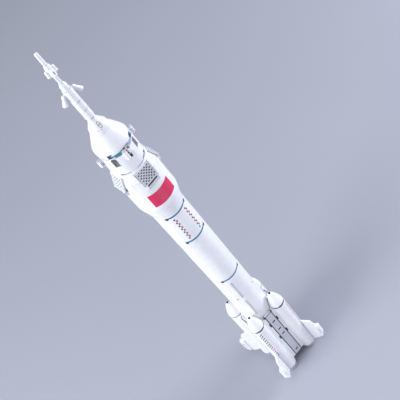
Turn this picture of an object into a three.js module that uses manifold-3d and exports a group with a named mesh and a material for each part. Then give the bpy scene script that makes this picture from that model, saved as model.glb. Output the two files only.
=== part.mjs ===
// Brick-built toy of a crewed launch rocket, 530 mm tall, standing on its tail.
// Millimetres, +Z up. The origin is on the floor, on the rocket's long axis. -Y is the front.
// Profiles are lists of [radius, height] pairs that run upwards.

import * as THREE from 'three';
import * as BufferGeometryUtils from 'three/addons/utils/BufferGeometryUtils.js';
import Module from 'manifold-3d';

const wasm = await Module();
wasm.setup();

// Driving dimensions
const GAP = 0.3;               // joint left between pieces that are pushed together
const CORE_R = 16;             // core tube, four studs across
const FAIRING_R = 19.8;        // widest part of the payload fairing
const UPPER_R = 16.2;          // fairing round the spacecraft's nose
const BAR_R = 1.6;             // toy bar
const TUBE_R = 4;              // one-stud round brick
const ROUND = 40;              // facets round a large body
const BOOSTER_ROUND = 32;      // facets round a booster
const BRICK_ROUND = 28;        // facets round a tower brick
const BELL_ROUND = 24;         // facets round an engine bell
const SMALL_ROUND = 16;        // facets round a small tube

// Heights above the floor
const TAIL_Z = 10;             // underside of the core and of the boosters
const SECTION_Z = [322, 281, 241, 200.5, 161.5, 122]; // joints between the core's sections
const BAND_HALF = 1;           // half height of a coloured band on the core
const BOAT_TAIL_TOP = 343.5;
const FLARE_BOTTOM = 384.3;
const FLARE_TOP = 396.3;
const NOSE_BAND_Z = [419, 422.6];
const SHOULDER_Z = 429.4;      // where the nose cone's straight side starts
const CONE_TOP = 440.2;
const TOWER_FOOT = 455.2;
const TOWER_SEAMS = [465.2, 475.5, 489.5];
const COLLAR_TOP = 497;
const CLUSTER_Z = [505.3, 517.3];
const TIP_Z = 530.5;

// Escape tower
const TIP_ROUND = 1.4;         // height of the tip rod's rounded end
const COLLAR_R = [3.4, 2];     // foot and top of the collar over the bricks
const BRICK_EDGE = 0.25;       // rounding where two tower bricks meet
const SKIRT_R = [8.5, 3.6];    // foot and neck of the skirt
const CONE_R = [14.1, 9];      // nose cone at its shoulder and at its top
const POD_OFF = 3.3;           // attitude pod from the tower's axis
const POD_R = 1.6;
const POD_Z = [507.4, 513.6];
const HUB_R = 2.8;

// Escape nozzles: they hang from short arms on the upper tower brick and splay outwards
const NOZZLE_SPLAY = THREE.MathUtils.degToRad(24.7);
const NOZZLE_HEAD_R = 5.3;
const NOZZLE_HEAD_Z = 486.6;
const NOZZLE_LENGTH = 8;
const NOZZLE_MOUTH_R = 2.2;
const NOZZLE_ARM = 2.2;        // width of the arm

// Windows of the upper fairing
const WINDOW_WIDTH = 5;
const WINDOW_BOTTOM = 407.6;
const WINDOW_TOP = 418.4;
const WINDOW_DEPTH = 1.5;
const ARCH_STEPS = 6;

// Side motors. Front and back: a long and a short upright tube on a body, open at the top, with
// a port in a block under the short one. Left and right: one tube on a web.
const TWIN_TUBES = [
  // middle across, bottom, top
  [-2, 411.6, 421.4],
  [2.7, 416.4, 421.4],
];
const SINGLE_TUBE = [0, 410.3, 417.9];
const MOTOR_FACE = 20.2;       // front of the tubes from the axis
const MOTOR_TUBE_R = 1.95;
const MOTOR_MOUTH_R = 1.15;
const MOTOR_MOUTH_DEPTH = 2.6;
const TWIN_BODY = [7.6, 3, 8.9]; // width, depth and height of the body behind the tubes
const TWIN_BODY_AT = [0.35, -16.9, 416.2]; // its middle: across, forward, and height
const PORT_BLOCK = [5.2, 4, 5]; // width, depth and height of the block under the short tube
const PORT_BLOCK_AT = [2, -17.5, 414.1];
const PORT = [2.7, 2.2, 4];    // width, depth and height of the port in it
const PORT_AT = [1.4, -19, 414.5];
const SINGLE_WEB = [2.2, 3, 5.6]; // width, depth and height of the web
const SINGLE_WEB_AT = [0, -16.9, 414.1];

// Grid fins: they lie in flat seats in the flare and lower fairing, leaning inwards, and swing
// out about their lower edge
const FIN_LEAN = Math.atan(0.354);
const FIN_HINGE_R = 20.6;
const FIN_HINGE_Z = 378.6;
const FIN_WIDTH = 14.6;
const FIN_LENGTH = 15.4;
const FIN_THICK = 1.4;
const NARROW_SEAT = 15.2;      // width of a seat at the front and back
const WIDE_SEAT = 24;          // width of a seat at the left and right
const SEAT_CUT = 6;            // depth of the block that cuts a seat
const SEAT_END = 0.4;          // room above the fin's upper edge
const SEAT_WALL = 17.9;        // the seat's upright lower wall, from the axis
const SEAT_WALL_Z = [376.8, 391];
const BARREL_R = 1;            // hinge barrel
const BRACKET_IN = 17.5;       // inner side of the bracket, before it is cut to the fairing
const BRACKET_OUT = [20.1, 21.3]; // its outer face at its foot and at its top
const BRACKET_WIDTH = 13.4;
const BRACKET_FOOT_Z = 372.8;
const MESH_ROWS = 8;
const MESH_ACROSS = 3.2;       // spacing of the lattice's holes along a row
const MESH_UP = 1.6;           // spacing of the rows
const MESH_FOOT = 2.1;         // first row above the hinge
const MESH_COLUMNS = [-1.5, -0.5, 0.5, 1.5]; // holes of a row, in spacings; rows are staggered
const MESH_SIDE = 1.3;         // side of a diamond hole

// Cable duct on the core
const DUCT_AZIMUTH = -25.5;
const DUCTS = [
  // name, bottom, top
  ['cable_duct_upper', 161.8, 194.1],
  ['cable_duct_lower', 121.7, 154.5],
];
const DUCT_WIDTH = 1.5;
const DUCT_PROUD = 1;          // how far it stands out of the core

// Tail strips between the boosters
const STRIP_HALF = 4.1;        // half width of a strip
const STRIP_FACE = 19.6;       // distance of its flat face from the axis
const STRIP_Z = [14, 111];
const VENT_Z = [95, 76.7, 65, 21.6];
const VENT = [3.4, 0.8, 1.2];  // width, depth and height of a vent slot

// Boosters
const BOOSTER_OFF = 16.3;      // booster axis from the core's axis, along X and along Y
const BOOSTER_R = 8;
const BOOSTER_TOP = 109.4;
const BOOSTER_TIP = 131;
const WEB_IN = 5.3;            // inner side of the booster's webs, beside a strip
const TIP_HOLE_R = 0.9;
const TIP_HOLE_DEPTH = 1.6;
const BOOSTER_LIP = [5.9, 6.6]; // inner and outer radius of the bell's lip, on the floor

// Booster fins
const FIN_TIP_R = 46;
const FIN_PLATE_THICK = 1.9;
const FIN_TIP_THICK = 4.4;
const GROOVE_Z = [24, 28, 32];
const GROOVE = [3, 0.5, 1.6];  // length, depth and height of a groove in the fin's tip

// Core engines
const BELL_OFF = 6.5;          // bell axis from the core's axis, along X and along Y
const BASE_R = 14.6;
const BASE_Z = 7.6;            // underside of the base plate
const BOSS_R = 3.4;            // boss between the bells
const BOSS_Z = 6.4;

// Moulded plastics
const WHITE = { color: 0xf1f2f6, roughness: 0.32, metalness: 0 };
const GREY = { color: 0xa3a3b0, roughness: 0.4, metalness: 0 };
const LATTICE = { color: 0xb9bcc9, roughness: 0.45, metalness: 0 };
const TEAL = { color: 0x35849a, roughness: 0.3, metalness: 0 };
const DARK = { color: 0x3a3b44, roughness: 0.5, metalness: 0 };

// The four sides, and the corners between them
const sides = [
  // name, azimuth in degrees
  ['front', 0],
  ['right', 90],
  ['back', 180],
  ['left', 270],
];
const corners = [
  // name, turn in degrees from the corner at +X -Y
  ['front_right', 0],
  ['back_right', 90],
  ['back_left', 180],
  ['front_left', 270],
];

const group = new THREE.Group();

// Add a named piece to the rocket, turned about the long axis by an azimuth in degrees.
// Azimuth 0 is the front and 90 the side that lies on +X.
function place(name, geometry, look, azimuth = 0) {
  const mesh = new THREE.Mesh(geometry, new THREE.MeshStandardMaterial(look));
  mesh.name = name;
  const turn = new THREE.Group();
  turn.rotation.z = THREE.MathUtils.degToRad(azimuth);
  turn.add(mesh);
  group.add(turn);
}

// Keep only positions, with shared corners and no flat triangles.
function weld(geometry) {
  const bare = geometry.index ? geometry.toNonIndexed() : geometry.clone();
  bare.deleteAttribute('normal');
  bare.deleteAttribute('uv');
  const merged = BufferGeometryUtils.mergeVertices(bare, 1e-4);
  const indices = merged.index.array;
  const kept = [];
  for (let i = 0; i < indices.length; i += 3) {
    const [a, b, c] = indices.slice(i, i + 3);
    if (a !== b && b !== c && c !== a) {
      kept.push(a, b, c);
    }
  }
  merged.setIndex(kept);
  return merged;
}

function solid(geometry) {
  const welded = weld(geometry);
  return new wasm.Manifold(new wasm.Mesh({
    numProp: 3,
    vertProperties: new Float32Array(welded.attributes.position.array),
    triVerts: new Uint32Array(welded.index.array),
  }));
}

function surface(body) {
  const { vertProperties, triVerts } = body.getMesh();
  const geometry = new THREE.BufferGeometry();
  geometry.setAttribute('position', new THREE.BufferAttribute(vertProperties, 3));
  geometry.setIndex(new THREE.BufferAttribute(triVerts, 1));
  return geometry;
}

const join = (...parts) => surface(parts.map(solid).reduce((all, next) => all.add(next)));

function cut(body, ...tools) {
  return surface(tools.map(solid).reduce((rest, tool) => rest.subtract(tool), solid(body)));
}

// A body of revolution on the Z axis, from a profile.
function turned(profile, facets = ROUND) {
  const points = profile.map(([r, z]) => new THREE.Vector2(r, z));
  return new THREE.LatheGeometry(points, facets).rotateX(Math.PI / 2);
}

function rod(radius, bottom, top, facets = SMALL_ROUND) {
  return turned([[0, bottom], [radius, bottom], [radius, top], [0, top]], facets);
}

function block(width, depth, height, x, y, z) {
  return new THREE.BoxGeometry(width, depth, height).translate(x, y, z);
}

// A flat outline of [across, up] pairs, given a thickness and stood upright, facing the front.
function upright(outline, thickness) {
  const shape = new THREE.Shape(outline.map(([x, z]) => new THREE.Vector2(x, z)));
  const plate = new THREE.ExtrudeGeometry(shape, { depth: thickness, bevelEnabled: false });
  return plate.translate(0, 0, -thickness / 2).rotateX(Math.PI / 2);
}

// Escape tower, from its tip down
place('tower_tip_rod', turned([
  [0, CLUSTER_Z[1] + GAP],
  [BAR_R, CLUSTER_Z[1] + GAP],
  [BAR_R, TIP_Z - TIP_ROUND],
  [BAR_R * 0.92, TIP_Z - TIP_ROUND * 0.45],
  [BAR_R * 0.6, TIP_Z - TIP_ROUND * 0.1],
  [0, TIP_Z],
], SMALL_ROUND), WHITE);

const pod = turned([
  [0, POD_Z[0]],
  [POD_R + 0.3, POD_Z[0]],
  [POD_R, POD_Z[0] + 1.6],
  [POD_R, POD_Z[1] - 1.6],
  [POD_R * 0.6, POD_Z[1] - 0.4],
  [0, POD_Z[1]],
], 10);
const hub = turned([
  [0, CLUSTER_Z[0]],
  [HUB_R - 0.7, CLUSTER_Z[0]],
  [HUB_R, CLUSTER_Z[0] + 2.2],
  [HUB_R, CLUSTER_Z[1] - 2.8],
  [HUB_R - 0.8, CLUSTER_Z[1]],
  [0, CLUSTER_Z[1]],
], SMALL_ROUND);
const pods = sides.map(([, azimuth]) => pod.clone()
  .translate(0, -POD_OFF, 0)
  .rotateZ(THREE.MathUtils.degToRad(azimuth)));
place('attitude_motors', join(hub, ...pods), WHITE);

place('tower_rod', rod(BAR_R - 0.05, COLLAR_TOP + GAP, CLUSTER_Z[0] - GAP), WHITE);

place('tower_collar', turned([
  [0, TOWER_SEAMS[2] + GAP],
  [COLLAR_R[0], TOWER_SEAMS[2] + GAP],
  [COLLAR_R[0] - 0.2, TOWER_SEAMS[2] + 1.2],
  [COLLAR_R[0] - 0.2, COLLAR_TOP - 3.4],
  [COLLAR_R[1], COLLAR_TOP],
  [0, COLLAR_TOP],
], SMALL_ROUND), WHITE);

const towerBricks = [
  // name, bottom, top
  ['tower_brick_lower', TOWER_FOOT, TOWER_SEAMS[0]],
  ['tower_brick_middle', TOWER_SEAMS[0], TOWER_SEAMS[1]],
  ['tower_brick_upper', TOWER_SEAMS[1], TOWER_SEAMS[2]],
];
for (const [name, bottom, top] of towerBricks) {
  place(name, turned([
    [0, bottom + GAP],
    [TUBE_R - BRICK_EDGE, bottom + GAP],
    [TUBE_R, bottom + 2 * GAP],
    [TUBE_R, top - BRICK_EDGE],
    [TUBE_R - BRICK_EDGE, top],
    [0, top],
  ], BRICK_ROUND), WHITE);
}

const nozzleTube = turned([
  [0, -NOZZLE_LENGTH],
  [NOZZLE_MOUTH_R - 0.85, -NOZZLE_LENGTH],
  [NOZZLE_MOUTH_R - 0.15, -NOZZLE_LENGTH - 0.7],
  [NOZZLE_MOUTH_R, -NOZZLE_LENGTH],
  [NOZZLE_MOUTH_R - 0.5, -0.6 * NOZZLE_LENGTH],
  [NOZZLE_MOUTH_R - 0.6, -0.6],
  [NOZZLE_ARM / 2, 0.9],
  [0, 1.2],
], SMALL_ROUND)
  .rotateX(-NOZZLE_SPLAY)
  .translate(0, -NOZZLE_HEAD_R, NOZZLE_HEAD_Z);
const nozzleArm = block(
  NOZZLE_ARM, NOZZLE_ARM, NOZZLE_ARM, 0, 0.4 - NOZZLE_HEAD_R, NOZZLE_HEAD_Z - 0.6,
);
const towerClear = rod(TUBE_R + GAP, TOWER_FOOT, COLLAR_TOP, ROUND);
const nozzle = cut(join(nozzleTube, nozzleArm), towerClear);
place('escape_nozzle_left', nozzle.clone(), WHITE, -90);
place('escape_nozzle_right', nozzle.clone(), WHITE, 90);

// Skirt under the tower, nose cone and nose band
place('tower_skirt', turned([
  [0, CONE_TOP + GAP],
  [SKIRT_R[0], CONE_TOP + GAP],
  [SKIRT_R[0] + 0.1, CONE_TOP + 1],
  [SKIRT_R[0] - 0.1, CONE_TOP + 3.4],
  [SKIRT_R[1] + 0.3, TOWER_FOOT - 3.4],
  [SKIRT_R[1], TOWER_FOOT - 2.8],
  [SKIRT_R[1], TOWER_FOOT],
  [0, TOWER_FOOT],
]), WHITE);

const coneBase = NOSE_BAND_Z[1] + GAP;
place('nose_cone', turned([
  [0, coneBase],
  [UPPER_R - 0.1, coneBase],
  [UPPER_R, coneBase + 0.7],
  [UPPER_R - 0.2, coneBase + 1.7],
  [UPPER_R - 0.8, coneBase + 3.7],
  [CONE_R[0], SHOULDER_Z],
  [CONE_R[1], CONE_TOP],
  [0, CONE_TOP],
]), WHITE);

place('nose_band', rod(UPPER_R - 0.2, NOSE_BAND_Z[0] + GAP, NOSE_BAND_Z[1], ROUND), TEAL);

// Upper fairing with four arched windows
const windowHalf = WINDOW_WIDTH / 2;
const windowOutline = [[-windowHalf, WINDOW_BOTTOM], [windowHalf, WINDOW_BOTTOM]];
for (let step = 0; step <= ARCH_STEPS; step++) {
  const angle = Math.PI * step / ARCH_STEPS;
  windowOutline.push([windowHalf * Math.cos(angle), WINDOW_TOP - windowHalf * (1 - Math.sin(angle))]);
}
const windowTools = corners.map(([, azimuth]) => upright(windowOutline, 2 * WINDOW_DEPTH)
  .translate(0, -UPPER_R, 0)
  .rotateZ(THREE.MathUtils.degToRad(azimuth + 45)));
place('fairing_upper', cut(
  rod(UPPER_R, FLARE_TOP + GAP, NOSE_BAND_Z[0], ROUND),
  ...windowTools,
), WHITE);

// Side motors
function motorTube([x, bottom, top]) {
  return turned([
    [0, bottom],
    [MOTOR_TUBE_R - 0.45, bottom],
    [MOTOR_TUBE_R, bottom + 1],
    [MOTOR_TUBE_R, top],
    [0, top],
  ], SMALL_ROUND).translate(x, MOTOR_TUBE_R - MOTOR_FACE, 0);
}

function motorMouth([x, , top]) {
  return rod(MOTOR_MOUTH_R, top - MOTOR_MOUTH_DEPTH, top + 1, 10)
    .translate(x, MOTOR_TUBE_R - MOTOR_FACE, 0);
}

const upperClear = rod(UPPER_R + GAP, FLARE_TOP, coneBase, ROUND);
const twinMotor = cut(
  join(
    block(...TWIN_BODY, ...TWIN_BODY_AT),
    block(...PORT_BLOCK, ...PORT_BLOCK_AT),
    ...TWIN_TUBES.map(motorTube),
  ),
  ...TWIN_TUBES.map(motorMouth),
  block(...PORT, ...PORT_AT),
  upperClear,
);
const singleMotor = cut(
  join(block(...SINGLE_WEB, ...SINGLE_WEB_AT), motorTube(SINGLE_TUBE)),
  motorMouth(SINGLE_TUBE),
  upperClear,
);

place('side_motor_front', twinMotor.clone(), WHITE, 0);
place('side_motor_right', singleMotor.clone(), WHITE, 90);
place('side_motor_back', twinMotor.clone(), WHITE, 180);
place('side_motor_left', singleMotor.clone(), WHITE, 270);

// Flare, lower fairing and boat tail. A flat seat is cut behind each grid fin: its upper part
// lies parallel to the fin, and its lower part is upright.
const onFinHinge = (geometry) => geometry
  .rotateX(-FIN_LEAN)
  .translate(0, -FIN_HINGE_R, FIN_HINGE_Z);
const seatLength = FIN_LENGTH + SEAT_END;
const seatTall = SEAT_WALL_Z[1] - SEAT_WALL_Z[0];
const seatTool = (width) => join(
  onFinHinge(block(width, SEAT_CUT, seatLength, 0, BARREL_R + GAP - SEAT_CUT / 2, seatLength / 2)),
  block(width, SEAT_CUT, seatTall, 0, -SEAT_WALL - SEAT_CUT / 2, SEAT_WALL_Z[0] + seatTall / 2),
);
const seatTools = sides.map(([side, azimuth]) => {
  const width = side === 'front' || side === 'back' ? NARROW_SEAT : WIDE_SEAT;
  return seatTool(width).rotateZ(THREE.MathUtils.degToRad(azimuth));
});

place('fairing_flare', cut(turned([
  [0, FLARE_BOTTOM + GAP],
  [FAIRING_R, FLARE_BOTTOM + GAP],
  [UPPER_R, FLARE_TOP],
  [0, FLARE_TOP],
]), ...seatTools), WHITE);

place('fairing_lower', cut(
  rod(FAIRING_R, BOAT_TAIL_TOP + GAP, FLARE_BOTTOM, ROUND),
  ...seatTools,
), WHITE);

const boatTailFoot = SECTION_Z[0] + 2 * BAND_HALF + GAP;
place('boat_tail', turned([
  [0, boatTailFoot],
  [CORE_R, boatTailFoot],
  [CORE_R, boatTailFoot + 0.8],
  [FAIRING_R - 0.3, BOAT_TAIL_TOP - 1.4],
  [FAIRING_R, BOAT_TAIL_TOP],
  [0, BOAT_TAIL_TOP],
]), WHITE);

// Grid fins: a lattice panel with a hinge barrel along its lower edge
const meshHoles = [];
for (let row = 0; row < MESH_ROWS; row++) {
  const stagger = row % 2 === 0 ? -0.25 : 0.25;
  for (const column of MESH_COLUMNS) {
    meshHoles.push(new THREE.BoxGeometry(MESH_SIDE, 2 * FIN_THICK, MESH_SIDE)
      .rotateY(Math.PI / 4)
      .translate((column + stagger) * MESH_ACROSS, 0, MESH_FOOT + row * MESH_UP));
  }
}
const finPanel = block(FIN_WIDTH, FIN_THICK, FIN_LENGTH, 0, 0, FIN_LENGTH / 2);
const finBarrel = new THREE.CylinderGeometry(BARREL_R, BARREL_R, FIN_WIDTH - 1, 12)
  .rotateZ(Math.PI / 2);
const gridFin = onFinHinge(cut(join(finPanel, finBarrel), ...meshHoles));

// Each fin's bracket is a wedge on the lower fairing, just under the hinge barrel.
const bracketTop = FIN_HINGE_Z - BARREL_R - GAP;
const bracketSide = new THREE.Shape([
  new THREE.Vector2(BRACKET_IN, bracketTop),
  new THREE.Vector2(BRACKET_OUT[1], bracketTop),
  new THREE.Vector2(BRACKET_OUT[0], BRACKET_FOOT_Z),
  new THREE.Vector2(BRACKET_IN, BRACKET_FOOT_Z),
]);
const bracketWedge = new THREE.ExtrudeGeometry(bracketSide, { depth: BRACKET_WIDTH, bevelEnabled: false })
  .translate(0, 0, -BRACKET_WIDTH / 2)
  .rotateX(Math.PI / 2)
  .rotateZ(-Math.PI / 2);
const lowerClear = rod(FAIRING_R + GAP, BOAT_TAIL_TOP, FLARE_BOTTOM, ROUND);
const finBracket = cut(bracketWedge, lowerClear);

for (const [side, azimuth] of sides) {
  place(`grid_fin_${side}`, gridFin.clone(), LATTICE, azimuth);
  place(`fin_bracket_${side}`, finBracket.clone(), WHITE, azimuth);
}

// Core sections, with a coloured band at the first, second and fourth joint
const coreParts = [
  // name, joint above, joint below, half band at the joint above, half band at the joint below
  ['core_section_1', 0, 1, 0, BAND_HALF],
  ['core_section_2', 1, 2, BAND_HALF, 0],
  ['core_section_3', 2, 3, 0, BAND_HALF],
  ['core_section_4', 3, 4, BAND_HALF, 0],
  ['core_section_5', 4, 5, 0, 0],
];
for (const [name, above, below, bandAbove, bandBelow] of coreParts) {
  place(name, rod(CORE_R, SECTION_Z[below] + bandBelow + GAP, SECTION_Z[above] - bandAbove, ROUND), WHITE);
}
place('core_tail', rod(CORE_R, TAIL_Z, SECTION_Z[5], ROUND), WHITE);

const coreBands = [
  // name, underside, top
  ['core_band_upper', SECTION_Z[0] + GAP, SECTION_Z[0] + 2 * BAND_HALF],
  ['core_band_middle', SECTION_Z[1] - BAND_HALF + GAP, SECTION_Z[1] + BAND_HALF],
  ['core_band_lower', SECTION_Z[3] - BAND_HALF + GAP, SECTION_Z[3] + BAND_HALF],
];
for (const [name, bottom, top] of coreBands) {
  place(name, rod(CORE_R + 0.15, bottom, top, ROUND), TEAL);
}

// Cable duct along the core, in two lengths that end at a joint
const coreClear = rod(CORE_R + GAP, 0, SECTION_Z[3], ROUND);
for (const [name, bottom, top] of DUCTS) {
  const bar = block(DUCT_WIDTH, 2.2, top - bottom, 0, 1.1 - CORE_R - DUCT_PROUD - 0.2, (bottom + top) / 2);
  place(name, cut(bar, coreClear), GREY, DUCT_AZIMUTH);
}

// Flat strips down the tail, one between each two boosters, with vent slots
const stripVents = VENT_Z.map((z) => block(VENT[0], 2 * VENT[1], VENT[2], 0, -STRIP_FACE, z));
const stripBar = block(
  2 * STRIP_HALF, 6, STRIP_Z[1] - STRIP_Z[0], 0, 3 - STRIP_FACE, (STRIP_Z[0] + STRIP_Z[1]) / 2,
);
const strip = cut(stripBar, coreClear, ...stripVents);
for (const [side, azimuth] of sides) {
  place(`tail_strip_${side}`, strip.clone(), GREY, azimuth);
}

// Boosters. Each is drawn at +X -Y of the axis, and turned to its own corner.
const atBooster = (geometry) => geometry.translate(BOOSTER_OFF, -BOOSTER_OFF, 0);

const boosterNose = cut(
  atBooster(turned([
    [0, BOOSTER_TOP + GAP],
    [BOOSTER_R, BOOSTER_TOP + GAP],
    [7.8, 111.6],
    [6.8, 117],
    [5, 123.2],
    [2.9, 128.8],
    [1.6, BOOSTER_TIP],
    [0, BOOSTER_TIP],
  ], BOOSTER_ROUND)),
  coreClear,
  atBooster(rod(TIP_HOLE_R, BOOSTER_TIP - TIP_HOLE_DEPTH, BOOSTER_TIP + 1, 8)),
);

const boosterTube = atBooster(rod(BOOSTER_R, TAIL_Z, BOOSTER_TOP, BOOSTER_ROUND));
const webLong = STRIP_FACE - WEB_IN;
const webShort = BOOSTER_OFF - WEB_IN;
const webTall = BOOSTER_TOP - STRIP_Z[0];
const webMidZ = (BOOSTER_TOP + STRIP_Z[0]) / 2;
const webFront = block(
  webShort, webLong, webTall, WEB_IN + webShort / 2, -(WEB_IN + webLong / 2), webMidZ,
);
const webSide = block(
  webLong, webShort, webTall, WEB_IN + webLong / 2, -(WEB_IN + webShort / 2), webMidZ,
);
const boosterBell = atBooster(turned([
  [0, 8.5],
  [4.1, 8.5],
  [BOOSTER_LIP[0], 0],
  [BOOSTER_LIP[1], 0],
  [5.3, 8],
  [5, TAIL_Z + 0.5],
  [0, TAIL_Z + 0.5],
], BELL_ROUND));
const boosterBody = cut(join(boosterTube, webFront, webSide, boosterBell), coreClear);

// Booster fins stand on the diagonal. Outlines are distance from the rocket's axis and height.
const finRoot = Math.SQRT2 * BOOSTER_OFF + BOOSTER_R + GAP;
const finPlate = upright([
  [finRoot, TAIL_Z + 0.5],
  [38.8, TAIL_Z + 0.5],
  [43.4, 15],
  [44.5, 22],
  [44.5, 40],
  [42.2, 41.5],
  [40.2, 51.5],
  [finRoot, 57.5],
], FIN_PLATE_THICK);
const finTip = upright([
  [41, 13.5],
  [43.6, 15],
  [FIN_TIP_R, 22],
  [FIN_TIP_R, 40],
  [41.6, 40],
  [41, 36],
], FIN_TIP_THICK);
const finGrooves = GROOVE_Z.flatMap((z) => [-1, 1].map((side) => block(
  GROOVE[0], 2 * GROOVE[1], GROOVE[2], FIN_TIP_R - 2, side * FIN_TIP_THICK / 2, z,
)));
const boosterFin = cut(join(finPlate, finTip), ...finGrooves).rotateZ(-Math.PI / 4);

for (const [corner, azimuth] of corners) {
  place(`booster_nose_${corner}`, boosterNose.clone(), WHITE, azimuth);
  place(`booster_body_${corner}`, boosterBody.clone(), WHITE, azimuth);
  place(`booster_fin_${corner}`, boosterFin.clone(), WHITE, azimuth);
}

// Core engines: a base plate with four bells, and a boss between them
const coreBell = turned([
  [0, 7],
  [3.2, 7],
  [4.5, 0.8],
  [5.2, 0.8],
  [4, 7],
  [3.8, BASE_Z + 0.6],
  [0, BASE_Z + 0.6],
], SMALL_ROUND);
const bells = [[1, 1], [1, -1], [-1, -1], [-1, 1]].map(([x, y]) => coreBell.clone()
  .translate(x * BELL_OFF, y * BELL_OFF, 0));
const basePlate = rod(BASE_R, BASE_Z, TAIL_Z - GAP, ROUND);
const boss = rod(BOSS_R, BOSS_Z, BASE_Z + 0.6, BELL_ROUND);
place('core_engines', join(basePlate, boss, ...bells), DARK);

export default group;
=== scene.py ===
"""Looks of a brick-built toy rocket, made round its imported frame.

Lengths are in millimetres until a piece is made of them. +Z is up and -Y is the front. An azimuth
is in degrees about the rocket's long axis: 0 at the front, 90 on +X.
"""

import logging
from collections.abc import Callable, Sequence
from dataclasses import dataclass, replace
from enum import Enum

import bpy
import numpy as np
from mathutils import Matrix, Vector
from numpy.typing import NDArray


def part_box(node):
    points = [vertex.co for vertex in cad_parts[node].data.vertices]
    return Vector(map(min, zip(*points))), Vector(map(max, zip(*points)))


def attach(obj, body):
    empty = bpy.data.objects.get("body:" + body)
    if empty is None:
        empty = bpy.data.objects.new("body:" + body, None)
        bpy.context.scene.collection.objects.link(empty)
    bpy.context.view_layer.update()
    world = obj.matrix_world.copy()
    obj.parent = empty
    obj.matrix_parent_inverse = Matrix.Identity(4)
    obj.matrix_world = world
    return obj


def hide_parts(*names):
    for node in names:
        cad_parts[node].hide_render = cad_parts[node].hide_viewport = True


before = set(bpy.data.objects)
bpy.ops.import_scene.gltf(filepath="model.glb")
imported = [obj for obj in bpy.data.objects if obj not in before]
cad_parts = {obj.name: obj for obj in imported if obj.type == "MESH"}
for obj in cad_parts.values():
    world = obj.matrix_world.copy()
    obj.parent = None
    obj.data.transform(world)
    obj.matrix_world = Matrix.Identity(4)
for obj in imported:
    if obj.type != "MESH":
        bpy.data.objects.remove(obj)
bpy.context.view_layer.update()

Numbers = NDArray[np.float64]
Places = NDArray[np.int64]
Carve = Callable[[Numbers, Numbers, Numbers], Numbers]    # azimuth, radius, height to a new radius
Corners = Sequence[tuple[float, float, float]]    # distance across, height and setback

LOG = logging.getLogger("rocket")
MM = 0.001                     # metres in a millimetre
CREASE_DEGREES = 32.0          # edges that turn more than this stay sharp
ROUND = 96                     # steps round a large body
SMALL_ROUND = 40               # steps round a bar or a tube
SEAM_AZIMUTHS = (-135.0, -45.0, 45.0, 135.0)   # the quarter panels meet here


class Slot(Enum):
    """The record's material slots."""

    WHITE = "white_abs"
    TEAL = "teal_abs"
    LATTICE = "lattice_abs"
    GREY = "grey_abs"
    DARK = "dark_abs"


class Side(Enum):
    """The four sides that carry a fin, a motor and a tail strip, with their azimuths."""

    FRONT = 0.0
    RIGHT = 90.0
    BACK = 180.0
    LEFT = 270.0


class Corner(Enum):
    """The four boosters, with their azimuths."""

    FRONT_RIGHT = 45.0
    BACK_RIGHT = 135.0
    BACK_LEFT = 225.0
    FRONT_LEFT = 315.0


# Surfaces worked out as arrays


@dataclass(frozen=True)
class Shell:
    """A surface in millimetres.

    Each row of points is one corner's x, y and z. Each row of faces is four corners, anticlockwise
    as seen from outside, and a triangle has -1 last. Paint is each face's place in the piece's list
    of finishes.
    """

    points: Numbers
    faces: Places
    paint: Places

    def moved(self, x: float = 0.0, y: float = 0.0, z: float = 0.0) -> "Shell":
        """The same surface, shifted."""
        return replace(self, points=self.points + np.array([x, y, z]))

    def turned(self, azimuth: float) -> "Shell":
        """The same surface, turned about the long axis by an azimuth in degrees."""
        c, s = np.cos(np.radians(azimuth)), np.sin(np.radians(azimuth))
        return replace(self, points=self.points @ np.array([[c, s, 0], [-s, c, 0], [0, 0, 1]]))

    def tilted(self, degrees: float) -> "Shell":
        """The same surface, tipped about the X axis: above 0, its top goes forward to -Y."""
        c, s = np.cos(np.radians(degrees)), np.sin(np.radians(degrees))
        return replace(self, points=self.points @ np.array([[1, 0, 0], [0, c, s], [0, -s, c]]))

    def painted(self, place: int) -> "Shell":
        """The same surface with every face given one finish of the piece's list."""
        return replace(self, paint=np.full(len(self.faces), place))

    def wrapped(self, radius: float, azimuth: float = 0.0) -> "Shell":
        """A flat surface laid round the rocket: x turns into arc length, and -y stands out.

        Args:
            radius: radius that y = 0 lies on.
            azimuth: azimuth that x = 0 lies on.

        Returns:
            The curved surface.
        """
        angle = np.radians(azimuth) + self.points[:, 0] / radius
        reach = radius - self.points[:, 1]
        laid = np.stack([reach * np.sin(angle), -reach * np.cos(angle), self.points[:, 2]], 1)
        return replace(self, points=laid)


def joined(shells: Sequence[Shell]) -> Shell:
    """Several surfaces as one: the corner numbers of each go up by the corners before it.

    Args:
        shells: the surfaces, in order.

    Returns:
        One surface.
    """
    starts = np.cumsum([0] + [len(shell.points) for shell in shells[:-1]])
    faces = [np.where(shell.faces < 0, -1, shell.faces + start)
             for shell, start in zip(shells, starts)]
    return Shell(np.concatenate([shell.points for shell in shells]), np.concatenate(faces),
                 np.concatenate([shell.paint for shell in shells]))


def grid_quads(rows: int, columns: int) -> Places:
    """Faces of a grid of corners numbered row by row: one row, column and four corners each."""
    index = np.arange(rows * columns).reshape(rows, columns)
    return np.stack([index[:-1, :-1], index[:-1, 1:], index[1:, 1:], index[1:, :-1]], -1)


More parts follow.
